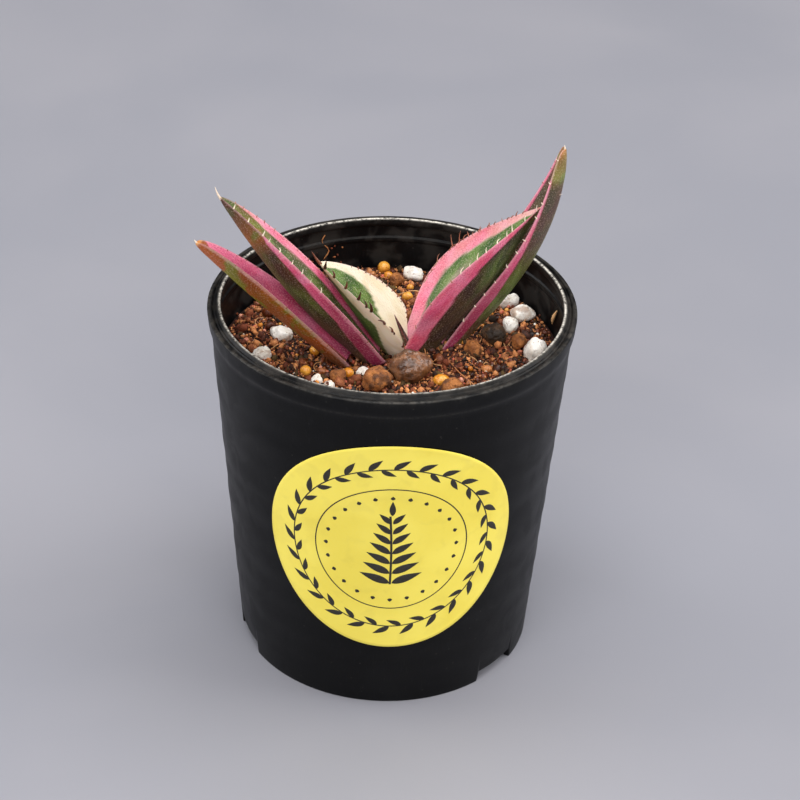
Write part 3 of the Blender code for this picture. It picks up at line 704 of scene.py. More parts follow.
sprig = []
for i in range(SPRIG_PAIRS):
    for hand in (-1, 1):
        leaf = drawn_leaf(7.8 - 0.62 * i, 2.3 - 0.14 * i, 0.10 * hand)
        leaf = placed(leaf, 0.0, hand * radians(62 - 4 * i))
        sprig.append(leaf + (0.25 * hand, 3.1 * i - 10.5))
sprig.append(drawn_leaf(4.4, 1.5) + (0.0, 10.6))
print_shapes("label_sprig", sprig)
stem = drawn_ring(STEM_BEND, 0.55, radians(-2.1), radians(4.0))
print_shapes("label_stem", [np.stack([stem[..., 1] - STEM_BEND, stem[..., 0] - 3.5], -1)])
garland = []
for i in range(GARLAND):
    bearing = 2 * pi * i / GARLAND
    garland.append(placed(drawn_leaf(4.6, 1.55, 0.15), 24.6, bearing, radians(50)))
    garland.append(placed(drawn_leaf(3.9, 1.35, -0.15), 24.4, bearing + pi / GARLAND, radians(130)))
print_shapes("label_garland", garland)
print_shapes("label_rings", [drawn_ring(24.5, 0.3), drawn_ring(18.6, 0.3)])
print_shapes("label_dots", [placed(drawn_leaf(1.1, 1.1), 15.4, 2 * pi * i / DOTS) for i in range(DOTS)])

# %% [markdown]
# ## The potting mix
#
# Under the surface the plain solid from the model is enough, so it stays and only gets a better
# material. On top of it lies a crust: a round grid of points whose heights are the mix's own gentle
# swell plus several sizes of noise, coloured much darker than the crumbs: the mix's dark soil deepened
# as painted shade in the gaps between them. Thousands of crumbs, threads and bits of grit then lie on
# the crust, because real potting mix is never a smooth skin.

# %% Heights of the mix
MIX_LEVEL = HEIGHT - 15.2
MIX_WAVE = 0.35
MIX_EDGE = wall_at(MIX_LEVEL) - WALL - 0.35


def mix_height(x, y):
    """The model's own swell: a wave across times a wave along, and a little higher at the back."""
    return MIX_LEVEL + MIX_WAVE * (np.sin(x / 7.5 + 0.6) * np.cos(y / 9.0 - 0.4) + y / 20.0)


def crust_height(x, y):
    """The swell with lumps of 9, 3.5 and 1.3 mm on it, sinking a little at the pot's wall."""
    flat_place = np.stack([x, y, 0 * x], -1)
    lumps = 0.75 * noise(flat_place, 9.0, 11) + 0.6 * noise(flat_place, 3.5, 12)
    lumps = lumps + 0.38 * noise(flat_place, 1.3, 13) + 0.2 * noise(flat_place, 0.7, 14)
    sink = 0.9 * step(np.hypot(x, y), MIX_EDGE - 4, MIX_EDGE)
    return mix_height(x, y) + np.maximum(0.55 + lumps - sink, 0.08)


# %% Mix materials
def earthy(name, dark, middle, light, grain_size, relief, shine=(0.75, 0.95), glint=0.0):
    """A crumbly finish: three earth colours chosen by each crumb's own number and by noise."""
    made, tree, shader = material(name, specular_ior_level=0.35 + glint)
    where = place_of(tree)
    fine = effect(tree, grain_group, where, size=grain_size, detail=5.0)
    broad = effect(tree, patch_group, where, size=grain_size * 9, cover=0.5, softness=0.35)
    damp = effect(tree, patch_group, where, size=13.0, cover=0.45, softness=0.3)
    tone = maths(tree, "MULTIPLY_ADD", fine["Height"], 0.5, times(tree, stored(tree, "tone"), 0.75))
    colour = mixed(tree, between(tree, tone, 0.15, 0.55), dark, middle)
    colour = mixed(tree, between(tree, tone, 0.55, 0.95), colour, light)
    colour = tinted(tree, colour, broad["Mask"], 0.3, dark)
    roughness = between(tree, damp["Mask"], 0.0, 1.0, shine[1], shine[0])
    finish_surface(tree, shader, colour, roughness, fine["Height"], relief)
    return made


crumb_finish = earthy("mix_crumbs", paint(17, 7, 3), paint(116, 50, 16), paint(224, 148, 88),
                      0.5, 0.25, (0.3, 0.85), 0.15)
# The crust's very dark colours are the soil's own dark tone deepened as painted shade between the crumbs
shaded_crust_finish = earthy("mix_crust_shaded", paint(9, 4, 3), paint(46, 18, 8), paint(110, 50, 20), 0.8, 0.35)
bark_finish = earthy("bark", paint(28, 18, 10), paint(74, 52, 26), paint(116, 92, 50), 0.7, 0.15)
thread_finish = earthy("root_threads", paint(120, 70, 36), paint(186, 124, 74), paint(226, 178, 124),
                       0.5, 0.05)


def refinish(name, finish):
    """Gives its material to a node of the model that stays in view."""
    nodes[name].data.materials.clear()
    nodes[name].data.materials.append(finish)


mix_material, tree, shader = material("mix_body")
where = place_of(tree)
body_grain = effect(tree, grain_group, where, size=1.2, detail=6.0)
body_pits = effect(tree, pit_group, where, size=1.7, width=0.6)
colour = mixed(tree, body_grain["Mask"], paint(40, 20, 11), paint(108, 58, 32))
finish_surface(tree, shader, mixed(tree, body_pits["Mask"], colour, paint(22, 12, 8)),
               between(tree, body_grain["Height"], 0.3, 0.7, 0.8, 1.0), body_grain["Height"], relief=0.6)
refinish("potting_mix", mix_material)

# %% The crust
CRUST_UNDER = 0.04
CRUST_TURNS = 384
crust_radii = MIX_EDGE * np.linspace(0, 1, 130)[1:, None] ** 0.85
crust_turns = np.arange(CRUST_TURNS) * 2 * pi / CRUST_TURNS
crust_x, crust_y = crust_radii * np.cos(crust_turns), crust_radii * np.sin(crust_turns)
crust_top = np.stack([crust_x, crust_y, crust_height(crust_x, crust_y)], -1)
coarse = np.linspace(0, len(crust_radii) - 1, 8).astype(int)[::-1]
crust_under = np.stack([crust_x, crust_y, mix_height(crust_x, crust_y) + CRUST_UNDER], -1)[coarse]
crust_grid = np.concatenate([crust_top, crust_under])
middle = np.zeros(1)
crust_start = (0, 0, crust_height(middle, middle)[0])
crust_end = (0, 0, mix_height(0.0, 0.0) + CRUST_UNDER)
crust_points, crust_faces = closed_surface(crust_grid, crust_start, crust_end)
crust_tone = 0.35 + 0.35 * rough(crust_points, 2.2, 3, 21)
# The dark crust sheet stands partly for painted shade in the gaps between crumbs
add_piece("mix_crust_shaded", crust_points, crust_faces, shaded_crust_finish, "potting_mix",
          values={"tone": crust_tone}, crease=70)

# %% [markdown]
# A crumb is an icosahedron, the simplest solid that looks round, with its twelve corners pushed in
# and out at random. All crumbs of a kind are made at once: an array of random turns and sizes is
# multiplied with the one array of corners.

# %% Crumbs
golden = (1 + 5**0.5) / 2
ICO = np.array([(-1, golden, 0), (1, golden, 0), (-1, -golden, 0), (1, -golden, 0),
                (0, -1, golden), (0, 1, golden), (0, -1, -golden), (0, 1, -golden),
                (golden, 0, -1), (golden, 0, 1), (-golden, 0, -1), (-golden, 0, 1)])
ICO = ICO / np.hypot(1, golden)
ICO_FACES = np.array([(0, 11, 5), (0, 5, 1), (0, 1, 7), (0, 7, 10), (0, 10, 11), (1, 5, 9), (5, 11, 4),
                      (11, 10, 2), (10, 7, 6), (7, 1, 8), (3, 9, 4), (3, 4, 2), (3, 2, 6), (3, 6, 8),
                      (3, 8, 9), (4, 9, 5), (2, 4, 11), (6, 2, 10), (8, 6, 7), (9, 8, 1)])


def random_turns(rng, count):
    """Random rotations, from unit quaternions, as (count, 3, 3)."""
    w, x, y, z = rng.normal(size=(4, count))
    length = np.sqrt(w * w + x * x + y * y + z * z)
    w, x, y, z = w / length, x / length, y / length, z / length
    rows = [1 - 2 * (y * y + z * z), 2 * (x * y - z * w), 2 * (x * z + y * w),
            2 * (x * y + z * w), 1 - 2 * (x * x + z * z), 2 * (y * z - x * w),
            2 * (x * z - y * w), 2 * (y * z + x * w), 1 - 2 * (x * x + y * y)]
    return np.stack(rows, -1).reshape(-1, 3, 3)


def scattered(rng, count, reach):
    """Random places on the mix, evenly spread: the radius is the root of a random share."""
    radii = reach * np.sqrt(rng.uniform(0, 1, count))
    bearings = rng.uniform(0, 2 * pi, count)
    return radii * np.cos(bearings), radii * np.sin(bearings)


def turned(rng, shapes):
    """Each shape of an array turned at random."""
    return np.einsum("nij,nkj->nki", random_turns(rng, len(shapes)), shapes)


def crumbs(name, finish, slot, count, sizes, seed, uneven=0.28, flatness=(0.6, 1.0), tones=(0, 1),
           high=0.35):
    """Crumbs of one kind. Sizes are spread so that small ones are the most common."""
    rng = np.random.default_rng(seed)
    x, y = scattered(rng, count, MIX_EDGE - sizes[1] / 2)
    size = sizes[0] + (sizes[1] - sizes[0]) * rng.uniform(0, 1, count) ** 2.2
    corners = ICO[None] * (1 + uneven * rng.uniform(-1, 1, (count, len(ICO), 1)))
    corners = corners * rng.uniform(*flatness, (count, 1, 3)) * size[:, None, None] / 2
    corners = turned(rng, corners)
    z = crust_height(x, y) + high * size * rng.uniform(0.2, 1.0, count)
    corners = corners + np.stack([x, y, z], -1)[:, None]
    tone = np.repeat(rng.uniform(*tones, count), len(ICO))
    points, faces = repeated(corners, [ICO_FACES])
    add_piece(name, points, faces, finish, slot, values={"tone": tone}, crease=0)


crumbs("mix_fine_crumbs", crumb_finish, "potting_mix", 8600, (0.35, 1.1), 101, tones=(0.0, 1.15))
crumbs("mix_middling_crumbs", crumb_finish, "potting_mix", 4600, (0.8, 1.9), 109,
       uneven=0.45, flatness=(0.4, 1.0), tones=(-0.1, 1.0))
crumbs("mix_coarse_crumbs", crumb_finish, "potting_mix", 900, (1.6, 3.6), 102,
       uneven=0.45, flatness=(0.45, 1.0), tones=(-0.1, 0.8))
crumbs("mix_bark_bits", bark_finish, "bark_chip", 700, (0.8, 3.2), 103,
       flatness=(0.2, 1.0), tones=(-0.1, 0.8))

# %% [markdown]
# Among the crumbs lie pale grit, pink and orange clay, and dry root threads. Threads are thin tubes
# along a random arc that rests on the crust.

# %% Grit and threads
grit_finish = earthy("pale_grit", paint(190, 172, 150), paint(228, 214, 196), paint(246, 240, 230),
                     0.5, 0.08)
pink_finish = earthy("pink_grit", paint(150, 62, 40), paint(204, 108, 78), paint(228, 160, 132),
                     0.5, 0.08, (0.35, 0.8), 0.15)
amber_finish = earthy("amber_grit", paint(150, 78, 16), paint(206, 126, 34), paint(232, 172, 84),
                      0.5, 0.06, (0.35, 0.7), 0.15)
crumbs("pale_grit", grit_finish, "pumice", 150, (0.6, 1.7), 104, high=0.5)
crumbs("pink_grit", pink_finish, "clay_lump", 380, (0.5, 1.9), 105, high=0.5)
crumbs("amber_grit", amber_finish, "fertiliser_pellet", 150, (0.6, 1.9), 106, high=0.5)

THREAD_STEPS = 12


def threads(name, count, lengths, thickness, seed, rise=0.6):
    """Thin bent threads: each turns evenly as it goes, and rises a little in its middle."""
    rng = np.random.default_rng(seed)
    x, y = scattered(rng, count, MIX_EDGE - 6)
    share = np.linspace(0, 1, THREAD_STEPS)[None, :]
    length = rng.uniform(*lengths, (count, 1))
    heading = rng.uniform(0, 2 * pi, (count, 1)) + rng.uniform(-2.2, 2.2, (count, 1)) * share
    run_x = np.cumsum(np.cos(heading), 1) * length / THREAD_STEPS + x[:, None]
    run_y = np.cumsum(np.sin(heading), 1) * length / THREAD_STEPS + y[:, None]
    reach = np.hypot(run_x, run_y)
    keep = np.minimum(1, (MIX_EDGE - 0.6) / reach)
    run_x, run_y = run_x * keep, run_y * keep
    hump = rise * rng.uniform(0.2, 1.6, (count, 1)) * np.sin(pi * share)
    run_z = crust_height(run_x, run_y) + 0.35 + hump
    run_z = (run_z + np.roll(run_z, 1, 1) + np.roll(run_z, -1, 1)) / 3
    run_z[:, [0, -1]] = run_z[:, [1, -2]] - 0.2
    radii = rng.uniform(*thickness, (count, 1)) * (1.15 - 0.8 * share)
    paths = np.stack([run_x, run_y, run_z], -1)
    points, faces = tubes(paths, radii, sides=5)
    tone = np.repeat(rng.uniform(0.1, 1, count), len(points) // count)
    add_piece(name, points, faces, thread_finish, "bark_chip", values={"tone": tone})


threads("root_threads", 150, (2.0, 8.0), (0.07, 0.16), 107)
threads("long_root_threads", 14, (9.0, 17.0), (0.10, 0.2), 108, rise=1.2)

# %% [markdown]
# ## Grains on the mix
#
# Each loose grain of the model is a lump whose place and size are right but whose surface is plain.
# A finer surface is worked out from it: in every direction from the lump's centre, the new radius
# is the mean of the old corners' radii, weighted by how nearly they lie in that direction. What the
# stone is made of then shapes it further: pumice breaks in flat faces with pits, clay crumbles,
# and fertiliser pellets are smooth and waxy.

# %% Lump surfaces
LUMP_ROWS = 46
LUMP_COLUMNS = 72
PUMICE_NEARNESS = 22.0
OTHER_NEARNESS = 26.0


def node_corners(name):
    """The separate corner points of a node of the model, in millimetres."""
    mesh = nodes[name].data
    flat_points = np.empty(len(mesh.vertices) * 3, np.float32)
    mesh.vertices.foreach_get("co", flat_points)
    return np.unique(np.round(flat_points.reshape(-1, 3) / MM, 3), axis=0)


def lump_surface(name, nearness):
    """Directions, radii and centre of a smooth closed surface through a node's own corners."""
    corners = node_corners(name)
    centre = (corners.min(0) + corners.max(0)) / 2
    arms = corners - centre
    reach = np.linalg.norm(arms, axis=1)
    tilt = pi * (np.arange(LUMP_ROWS) + 0.5)[:, None] / LUMP_ROWS
    turn = 2 * pi * np.arange(LUMP_COLUMNS) / LUMP_COLUMNS
    grid = [np.sin(tilt) * np.cos(turn), np.sin(tilt) * np.sin(turn), np.cos(tilt) + 0 * turn]
    grid = np.stack(grid, -1)
    poles = np.array([(0.0, 0.0, 1.0), (0.0, 0.0, -1.0)])
    toward = np.concatenate([grid.reshape(-1, 3), poles])
    weight = np.exp(nearness * (toward @ (arms / reach[:, None]).T - 1))
    return toward, (weight @ reach) / weight.sum(1), centre


def lump_faces():
    """Faces of the direction grid with its two poles."""
    blank = np.zeros((LUMP_ROWS, LUMP_COLUMNS, 3))
    return closed_surface(blank, np.zeros(3), np.zeros(3))[1]


def broken_faces(toward, rng, count, softness):
    """How far a stone of flat broken faces reaches in each direction: the soft least of each face's
    distance divided by the cosine of the angle to it, as -log(sum(exp(-k d))) / k."""
    normals = rng.normal(size=(count, 3))
    normals /= np.linalg.norm(normals, axis=1, keepdims=True)
    distance = rng.uniform(0.78, 1.0, count) / np.clip(toward @ normals.T, 0.05, None)
    return np.minimum(-np.log(np.exp(-softness * distance).sum(1)) / softness, 1.1)


def kind_of(name):
    """A grain's name without its number."""
    return name.rsplit("_", 1)[0]


def make_lump(name, finish, slot, seed):
    """The detailed stand-in for one grain, shaped by its kind."""
    kind = kind_of(name)
    nearness = PUMICE_NEARNESS if kind == "pumice" else OTHER_NEARNESS
    toward, reach, centre = lump_surface(name, nearness)
    rng = np.random.default_rng(seed)
    points = toward * reach[:, None]
    shift = rng.uniform(-50, 50, 3)
    mean = reach.mean()
    if kind == "pumice":
        cut = broken_faces(toward, rng, 20, 14.0)
        reach = reach * (0.45 + 0.55 * cut / cut.mean())
        reach = reach * (1 + 0.10 * rough(points + shift, mean * 0.9, 3, 31))
        pits = np.clip(noise(points + shift, 0.55, 33) - 0.45, 0, 1)
        reach = reach - 0.5 * pits + 0.05 * noise(points + shift, 0.4, 34)
    elif kind == "clay_lump":
        reach = reach * (1 + 0.13 * rough(points + shift, mean * 0.8, 3, 35))
        crumbled = 0.5 * rough(points + shift, 1.5, 3, 36)
        reach = reach + crumbled - 0.25 * np.abs(noise(points + shift, 0.8, 39))
    elif kind == "bark_chip":
        across_grain = np.stack([points[:, 0] * 0.25, points[:, 1] * 1.6, points[:, 2]], -1)
        reach = reach * (1 + 0.10 * rough(across_grain + shift, 0.8, 2, 37))
    else:
        reach = reach * (1 + 0.03 * noise(points + shift, mean, 38))
    tone = np.full(len(toward), rng.uniform(0.3, 0.7))
    surface = centre + toward * reach[:, None]
    add_piece(name + "_fine", surface, lump_faces(), finish, slot, [name], {"tone": tone})


# %% Grain materials
def stone(name, low, high, stain, stain_share, pit_size, relief, rough_range, **constants):
    """A mineral finish: two tones in patches, dark pits, and the mix's colour smeared on it."""
    made, tree, shader = material(name, **constants)
    where = place_of(tree)
    patch = effect(tree, patch_group, where, size=2.4, cover=0.5, softness=0.4)
    pit = effect(tree, pit_group, where, size=pit_size, width=0.34)
    sparse = effect(tree, patch_group, where, size=1.3, cover=0.5, softness=0.15)
    smear = effect(tree, patch_group, where, size=3.3, cover=stain_share, softness=0.18)
    fine = effect(tree, grain_group, where, size=0.3, detail=4.0)
    colour = mixed(tree, patch["Mask"], low, high)
    shade = times(tree, pit["Mask"], times(tree, sparse["Mask"], 0.95))
    colour = mixed(tree, shade, colour, stain)
    colour = tinted(tree, colour, smear["Mask"], 0.7, stain)
    colour = tinted(tree, colour, fine["Mask"], 0.18, low)
    height = maths(tree, "MULTIPLY_ADD", fine["Height"], 0.6, times(tree, pit["Height"], 0.4))
    roughness = between(tree, fine["Height"], 0.3, 0.7, *rough_range)
    finish_surface(tree, shader, colour, roughness, height, relief)
    return made


finishes = {
    "pumice": stone("pumice", paint(222, 213, 200), paint(243, 238, 231), paint(150, 108, 76),
                    0.24, 0.75, 0.2, (0.75, 0.95)),
    "clay_lump": stone("clay", paint(118, 66, 24), paint(168, 104, 48), paint(46, 22, 9),
                       0.34, 0.9, 0.35, (0.65, 0.95)),
    "fertiliser_pellet": stone("pellet", paint(206, 128, 30), paint(232, 166, 66), paint(150, 84, 24),
                               0.12, 1.4, 0.03, (0.28, 0.42), coat_weight=0.2),
    "bark_chip": bark_finish,
}
wet_clay = stone("wet_clay", paint(92, 54, 28), paint(140, 92, 56), paint(50, 26, 11),
                 0.32, 0.8, 0.5, (0.2, 0.55), coat_weight=0.6, coat_roughness=0.15)
damp_clay = stone("damp_clay", paint(38, 26, 12), paint(84, 54, 24), paint(22, 12, 6),
                  0.4, 0.9, 0.5, (0.4, 0.8))
soaked = {"clay_lump_1": wet_clay, "clay_lump_6": damp_clay}
FIRST_GRAIN_SEED = 400
grain_nodes = sorted(name for name in nodes if kind_of(name) in finishes)
for number, name in enumerate(grain_nodes):
    finish = soaked.get(name, finishes[kind_of(name)])
    make_lump(name, finish, kind_of(name), FIRST_GRAIN_SEED + number)
print(len(grain_nodes), "grains")

# %% [markdown]
# ## The leaves
#
# An agave leaf is a gutter: a middle line that bends evenly upwards, and two halves that rise from
# it to toothed margins. The surface is a function of two parameters. One runs along the leaf from
# foot to tip. The other runs across it, over the upper face from margin to margin and back under
# the thick, rounded lower face.

# %% The leaves' sizes
CROWN_AT = np.array([1.0, -1.4])
crown_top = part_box("crown_and_roots")[1].z / MM
LEAF_GAP = 0.3
GUTTER_ROUNDING = 0.25

# foot counts from the crown's centre; rise, gutter (how steeply the halves slope) and roll are pairs
# for foot and tip; at_foot is the half-width's share at the foot: millimetres and degrees
Leaf = namedtuple("Leaf", "foot heading sweep rise length half_width at_foot widest_at taper "
                          "gutter roll thickness")
LEAVES = {
    "leaf_outer_left": Leaf((-11.3, -3.9), 181.0, 5.7, (43.6, 42.0), 49.8, 5.9, 0.83, 0.45, 0.44,
                            (43.0, 52.0), (13.8, -5.9), 2.8),
    "leaf_middle_left": Leaf((-4.9, -2.9), 185.3, 1.0, (44.9, 57.3), 59.6, 10.0, 0.55, 0.35, 0.70,
                             (40.6, 55.1), (-8.4, 3.0), 2.4),
    "leaf_inner_left": Leaf((-0.2, 1.0), 171.5, 1.9, (54.9, 48.2), 30.8, 12.1, 0.43, 0.25, 0.81,
                            (48.0, 39.8), (-7.1, 5.3), 2.0),
    "leaf_inner_right": Leaf((6.8, 1.8), 13.9, 2.0, (49.5, 57.1), 47.8, 15.3, 0.55, 0.37, 1.0,
                             (57.5, 56.5), (15.8, 3.7), 1.8),
    "leaf_outer_right": Leaf((12.9, 2.6), 36.5, -55.6, (34.6, 89.7), 62.4, 9.0, 0.41, 0.35, 0.38,
                             (79.4, 28.4), (4.5, -7.7), 1.9),
    "spear_leaf": Leaf((4.1, 3.4), 172.0, 0.0, (63.0, 66.0), 10.8, 0.9, 0.95, 0.2, 0.9,
                       (25.0, 25.0), (0.0, 0.0), 1.0),
}


def angle_at(pair, share):
    """The angle at each share, in radians, where it changes evenly from foot to tip."""
    return np.radians(pair[0] + (pair[1] - pair[0]) * share)


def leaf_course(leaf, share):
    """Heading at each share, and the direction (cos r cos h, cos r sin h, sin r) it gives with the
    rise r. Both change evenly along the leaf."""
    heading = np.radians(leaf.heading + leaf.sweep * share)
    rise = angle_at(leaf.rise, share)
    along = [np.cos(rise) * np.cos(heading), np.cos(rise) * np.sin(heading), np.sin(rise)]
    return heading, np.stack(along, -1)


def leaf_line(leaf, share):
    """The middle line from the foot: the running sum of many short steps, read off at each share."""
    fine = np.linspace(0, 1, 400)
    run = np.cumsum(leaf_course(leaf, fine)[1], 0) * leaf.length / len(fine)
    run = run - run[:1]
    return np.stack([np.interp(share, fine, axis) for axis in run.T], -1)


def leaf_frame(leaf, share, back=0.0):
    """Middle line and axes of a leaf at each share of its length.

    The side is level and square to the leaf's course, the normal is crossed from both, and roll
    turns the pair. back draws the foot back along the leaf, down to the crown.
    """
    heading, along = leaf_course(leaf, share)
    line = leaf_line(leaf, share) + (*(CROWN_AT + leaf.foot), MIX_LEVEL)
    line = line - along[0] * back * step(share, 0.12, 0.0)[:, None]
    side = np.stack([np.sin(heading), -np.cos(heading), 0 * heading], -1)
    normal = np.cross(side, along)
    turn = angle_at(leaf.roll, share)[:, None]
    rolled_side = side * np.cos(turn) + normal * np.sin(turn)
    return line, along, rolled_side, normal * np.cos(turn) - side * np.sin(turn)


def leaf_width(leaf, share):
    """Half-width: a quarter sine up to the widest place, then a power of cosine to the tip."""
    widest_at = leaf.widest_at
    swelling = np.sin(pi / 2 * np.clip(share / widest_at, 0, 1))
    swelling = leaf.at_foot + (1 - leaf.at_foot) * swelling
    narrowing = np.cos(pi / 2 * np.clip((share - widest_at) / (1 - widest_at), 0, 1))
    narrowing = np.clip(narrowing, 0, 1) ** leaf.taper
    return leaf.half_width * np.where(share < widest_at, swelling, narrowing)


def leaf_points(leaf, share, across, under, back=0.0):
    """Points of a leaf. across is -1..1 between the margins; under is 0 on the upper face and 1 on
    the lower one, which bulges below it by the thickness times sqrt(1 - across^2)."""
    line, along, side, normal = leaf_frame(leaf, share, back)
    width = leaf_width(leaf, share)[:, None]
    gutter = angle_at(leaf.gutter, share)[:, None]
    out = width * across * np.cos(gutter)
    face = width * (np.sqrt(across**2 + GUTTER_ROUNDING**2) - GUTTER_ROUNDING) * np.sin(gutter)
    thick = leaf.thickness * (width / leaf.half_width) ** 0.8 * (1.15 - 0.5 * share[:, None])
    thick = thick * np.sqrt(np.clip(1 - across**2, 0, 1))
    face = face - thick * under
    return line[:, None] + out[..., None] * side[:, None] + face[..., None] * normal[:, None]


LEAF_ROWS = 170
LEAF_HALF = 44
share = 1 - (1 - np.linspace(0, 1, LEAF_ROWS)) ** 1.25
across_turn = pi * np.arange(LEAF_HALF) / LEAF_HALF
over = -np.cos(across_turn)
ACROSS = np.concatenate([over, -over])[None, :]
UNDER = np.concatenate([np.zeros(LEAF_HALF), np.ones(LEAF_HALF)])[None, :]
print("a leaf has", LEAF_ROWS * LEAF_HALF * 2, "points")

# %% [markdown]
# ## The leaves' colours
#
# A variegated leaf is painted by its pigments. Green tissue fills a core along the middle; the
# margins have no green and are cream. Cold and sun bring a red blush, which turns cream tissue pink
# and green tissue brown. So each point of a leaf holds three numbers, *green*, *blush* and *dry*,
# and one material mixes them, which keeps neighbouring leaves related as they are on a real plant.

# %% Pigments
# For each leaf: how much of the core's blush shows on the upper face; then, as pairs of a share of
# the length and a value, how far from the middle the green core reaches on the upper and on the lower
# face, the blush of the margins and of the core, the amber in the core, and how dry it is
# Margin blush above 1 darkens the pink to deep magenta, highest at the feet: partly own colour, partly
# painted shade
PIGMENTS = {
    "leaf_outer_left": dict(
        upper_core=0.8, upper=((0, 0.15), (0.9, 0.15), (0.97, 1.1)), lower=((0, 1.1), (1, 1.1)),
        margin_blush=((0, 1.25), (0.6, 1.2), (0.9, 1.1), (1, 0.3)),
        core_blush=((0, 0.9), (0.3, 1.0), (0.62, 0.9), (0.8, 1.0), (1, 1.0)),
        amber=((0, 0.25), (0.2, 0.85), (0.5, 0.95), (0.65, 0.9), (0.8, 1), (1, 1)),
        dry=((0.95, 0), (1, 0.75))),
    "leaf_middle_left": dict(
        upper_core=0.55, upper_margin=0.75,
        upper=((0, 0.8), (0.5, 0.82), (0.75, 0.80), (0.9, 0.9), (0.95, 1.1)),
        lower=((0, 0.42), (0.1, 0.6), (0.3, 0.76), (0.55, 0.82), (0.75, 0.88), (0.83, 1.1)),
        margin_blush=((0, 1.45), (0.25, 1.2), (0.6, 1.0), (1, 0.8)),
        core_blush=((0, 1.0), (0.3, 0.85), (0.6, 0.75), (0.8, 0.45), (0.95, 0.55), (1, 1.0)),
        amber=((0, 0), (0.7, 0.1), (0.78, 0.7), (0.88, 0.3), (1, 0.1)), dry=((0.985, 0), (1, 0.9))),
    "leaf_inner_left": dict(
        upper_core=0.35,
        upper=((0, 0.2), (0.3, 0.38), (0.5, 0.6), (0.7, 0.68), (0.86, 0.6), (0.93, 0.25), (0.96, 0.0)),
        lower=((0, 0.25), (0.1, 0.38), (0.25, 0.55), (0.38, 0.74), (0.42, 0.70), (0.47, 0.6), (0.8, 0.58),
               (1, 0.6)),
        margin_blush=((0, 0.22), (0.3, 0.08), (0.6, 0.18), (0.9, 0.15), (1, 0.0)),
        core_blush=((0, 0.15), (1, 0.1)), amber=((0, 0.15), (0.3, 0.05), (1, 0)), dry=((0.96, 0), (1, 0.9))),
    "leaf_inner_right": dict(
        upper_core=0.22, upper_margin=0.66,
        upper=((0, 0.6), (0.2, 0.76), (0.4, 0.80), (0.6, 0.74), (0.9, 0.66), (0.97, 0.3)),
        lower=((0, 0.64), (0.2, 0.68), (0.4, 0.72), (0.6, 0.75), (0.8, 0.79), (0.9, 0.86), (1, 1.0)),
        margin_blush=((0, 1.1), (0.3, 1.0), (0.7, 0.9), (1, 0.75)),
        core_blush=((0, 1.1), (0.4, 1.0), (0.6, 0.65), (1, 0.45)),
        amber=((0, 0), (1, 0)), dry=((0.97, 0), (1, 0.9))),
    "leaf_outer_right": dict(
        upper_core=1.3, upper=((0, 0.85), (0.6, 0.88), (0.9, 0.9), (0.97, 1.1)),
        lower=((0, 0.5), (0.1, 0.62), (0.3, 0.72), (0.5, 0.81), (0.7, 0.92), (0.88, 0.97), (0.93, 1.1)),
        margin_blush=((0, 1.35), (0.3, 1.15), (0.7, 1.0), (1, 0.8)),
        core_blush=((0, 1.0), (0.2, 0.4), (0.35, 0.35), (0.5, 0.65), (0.84, 0.7), (0.9, 0.1), (1, 0.0)),
        amber=((0, 0.1), (0.84, 0.1), (0.9, 0.45), (0.96, 0.5), (1, 1.0)), dry=((0.99, 0), (1, 0.5))),
    "spear_leaf": dict(
        upper_core=1.0, upper=((0, 1.1), (1, 1.1)), lower=((0, 1.1), (1, 1.1)),
        margin_blush=((0, 1), (1, 1)),
        core_blush=((0, 1.0), (1, 1.0)), amber=((0, 0), (1, 0)), dry=((0, 0), (1, 0))),
}


def leaf_map(share, length, width, apart):
    """The leaf laid out flat: along, across, and the lower face set apart by a distance."""
    return np.stack([share[:, None] * length + 0 * ACROSS, ACROSS * width, apart * UNDER + 0 * width], -1)


def pigments(name, share, length, width):
    """Numbers for green, blush, amber, dry and a painted edge highlight at each point, with wavering
    borders.
    """
    table = {key: value if np.isscalar(value) else along_table(share, value)[:, None]
             for key, value in PIGMENTS[name].items()}
    streak = leaf_map(share, length * 0.22, width, 9)
    waver = 0.022 * noise(streak, 3.0, 51) + 0.012 * noise(streak, 1.1, 52)
    edge = np.where(UNDER > 0, table["lower"], table["upper"])
    distance = (edge + waver - np.abs(ACROSS)) * width
    green = step(distance, -0.22, 0.22)
    margin = table["margin_blush"] * (1 + 0.16 * noise(streak, 2.4, 53))
    core = table["core_blush"] * np.where(UNDER > 0, 1.0, table["upper_core"])
    core = core * (1 + 0.5 * noise(streak, 3.0, 54))
    near_border = 0.25 * np.exp(-((distance / 0.7) ** 2))
    blush = np.clip(margin * (1 - green) + core * green + near_border * green * (margin > 0.3), 0, 1.5)
    upper_pale = np.where(UNDER > 0, 1.0, table.get("upper_margin", 1.0))
    amber = table["amber"] * (1 + 0.5 * noise(streak, 4.0, 55))
    # A narrow pale line along each margin: a painted highlight on the rounded edge
    edge_highlight_and_stripe = step(np.abs(ACROSS) * width, width - 0.45, width - 0.1) * step(width, 0.4, 2.0)
    if name == "leaf_inner_right":
        # leaf_inner_right also gets a pale stripe on its upper face, carried in the same number
        stripe = np.exp(-(((ACROSS + 0.58) / 0.045) ** 2)) * step(share, 0.6, 0.4)[:, None]
        edge_highlight_and_stripe = edge_highlight_and_stripe + 1.3 * (1 - UNDER) * stripe
    ragged = step(table["dry"] + 0.35 * noise(streak, 1.6, 56), 0.35, 0.65)
    return {"green": green, "blush": blush * upper_pale, "amber": np.clip(amber, 0, 1), "dry": ragged,
            "edge_highlight_and_stripe": edge_highlight_and_stripe}


# %% [markdown]
# The leaf's skin is waxy but not glossy: it carries a pale powdery bloom, and fine rows of raised
# cells run along it. The rows follow the leaf, so the material reads the leaf's own flat map, laid
# out in real millimetres along and across.

